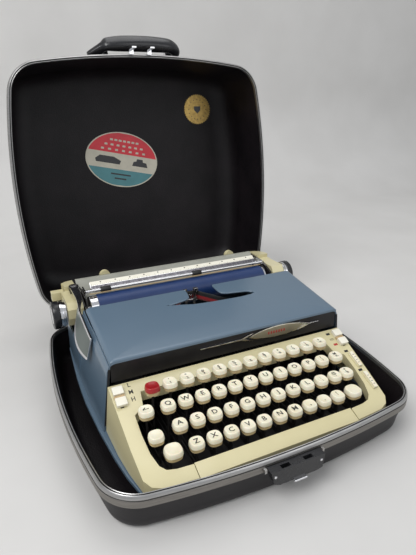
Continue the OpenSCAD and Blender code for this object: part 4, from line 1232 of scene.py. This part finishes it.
def make_shift_keys(first):
    lo, hi = corners("shift_keys")
    wide = 18.4
    row_y, row_z = first[3].y, first[3].z
    lock = Vector((lo.x + CAP_W / 2, lo.y, 0))
    lock.y = first[2].y + 0.2 * (first[3].y - first[2].y)
    lock.z = first[2].z + 0.2 * (first[3].z - first[2].z)
    right = Vector((hi.x - wide / 2, row_y, row_z))
    left = Vector((lock.x + 11.4, row_y, row_z))
    key_piece("left_shift_cap", "shift", left, wide, lever_x=left.x - 3.8, replaces=["shift_keys"])
    key_piece("right_shift_cap", "shift", right, wide, lever_x=right.x - 2.3)
    key_piece("lock_cap", "shift", lock, lever_x=lock.x + 3.1)
    shaft = Solid("steel")
    shaft.rod((left.x - 3, 52, 15.8), (right.x - 3, 52, 15.8), 1.6)
    for x in (left.x - 3.8, right.x - 2.3):
        shaft.prism([(48, 15), (56, 15), (58, 23), (46, 23)], upright(x - 0.6), 1.2)
    shaft.place("shift_shaft", "shift", "bright_steel")


def make_space_bar():
    """The bar is cream; the arms that carry it are dark steel."""
    bar = dress("space_bar", "cream", 1.2, 4, 25)
    bar.data.materials.append(LOOKS["key_lever"])
    for polygon in bar.data.polygons:
        along = [bar.data.vertices[i].co.x / MM for i in polygon.vertices]
        if max(along) - min(along) < 1.4 and abs(along[0]) < 91:
            polygon.material_index = 1


# ---------- room ----------

def make_room():
    """Pale floor that curves up behind the object, and soft light from the left and above."""
    scene = bpy.context.scene
    mesh = bpy.data.meshes.new("floor")
    room = bmesh.new()
    run_up = [(-4.0, 0.0), (0.75, 0.0)] + [
        (0.75 + 0.35 * math.sin(t), 0.35 * (1 - math.cos(t)))
        for t in (math.pi / 2 * i / 12 for i in range(1, 13))] + [(1.1, 4.0)]
    rows = [[room.verts.new((x, y, z)) for x in (-5, 5)] for y, z in run_up]
    for a, b in zip(rows, rows[1:]):
        room.faces.new((a[0], a[1], b[1], b[0]))
    room.to_mesh(mesh)
    room.free()
    mesh.shade_smooth()
    floor = bpy.data.objects.new("floor", mesh)
    scene.collection.objects.link(floor)
    pale = Look("floor_cloth", (0.61, 0.60, 0.585), 0.85)
    pale.mottle((0.56, 0.55, 0.535), pale.noise(6, 4), 0.3, 0.8)
    mesh.materials.append(pale.material)

    world = bpy.data.worlds.new("studio")
    world.use_nodes = True
    background = world.node_tree.nodes["Background"]
    background.inputs["Color"].default_value = (0.93, 0.96, 1.0, 1)
    background.inputs["Strength"].default_value = 0.55
    scene.world = world
    scene.view_settings.view_transform = "Standard"
    for name, place, aim, size, power in (
            ("key_light", (-1.2, -0.5, 1.8), (0, 0, 0.1), 1.1, 27),
            ("front_light", (0.9, -1.7, 1.3), (0, 0, 0.1), 1.4, 7),
            ("top_light", (0.2, 0.5, 1.9), (0, 0.1, 0.1), 1.2, 9)):
        data = bpy.data.lights.new(name, "AREA")
        data.size = size
        data.energy = power
        lamp = bpy.data.objects.new(name, data)
        lamp.location = place
        lamp.rotation_euler = (Vector(aim) - Vector(place)).to_track_quat("-Z", "Y").to_euler()
        scene.collection.objects.link(lamp)


make_camera()
make_room()
make_case()
make_case_fittings()
make_lid_labels()
make_body()
make_carriage()
make_type_basket()
make_controls()
make_keys()
make_space_bar()
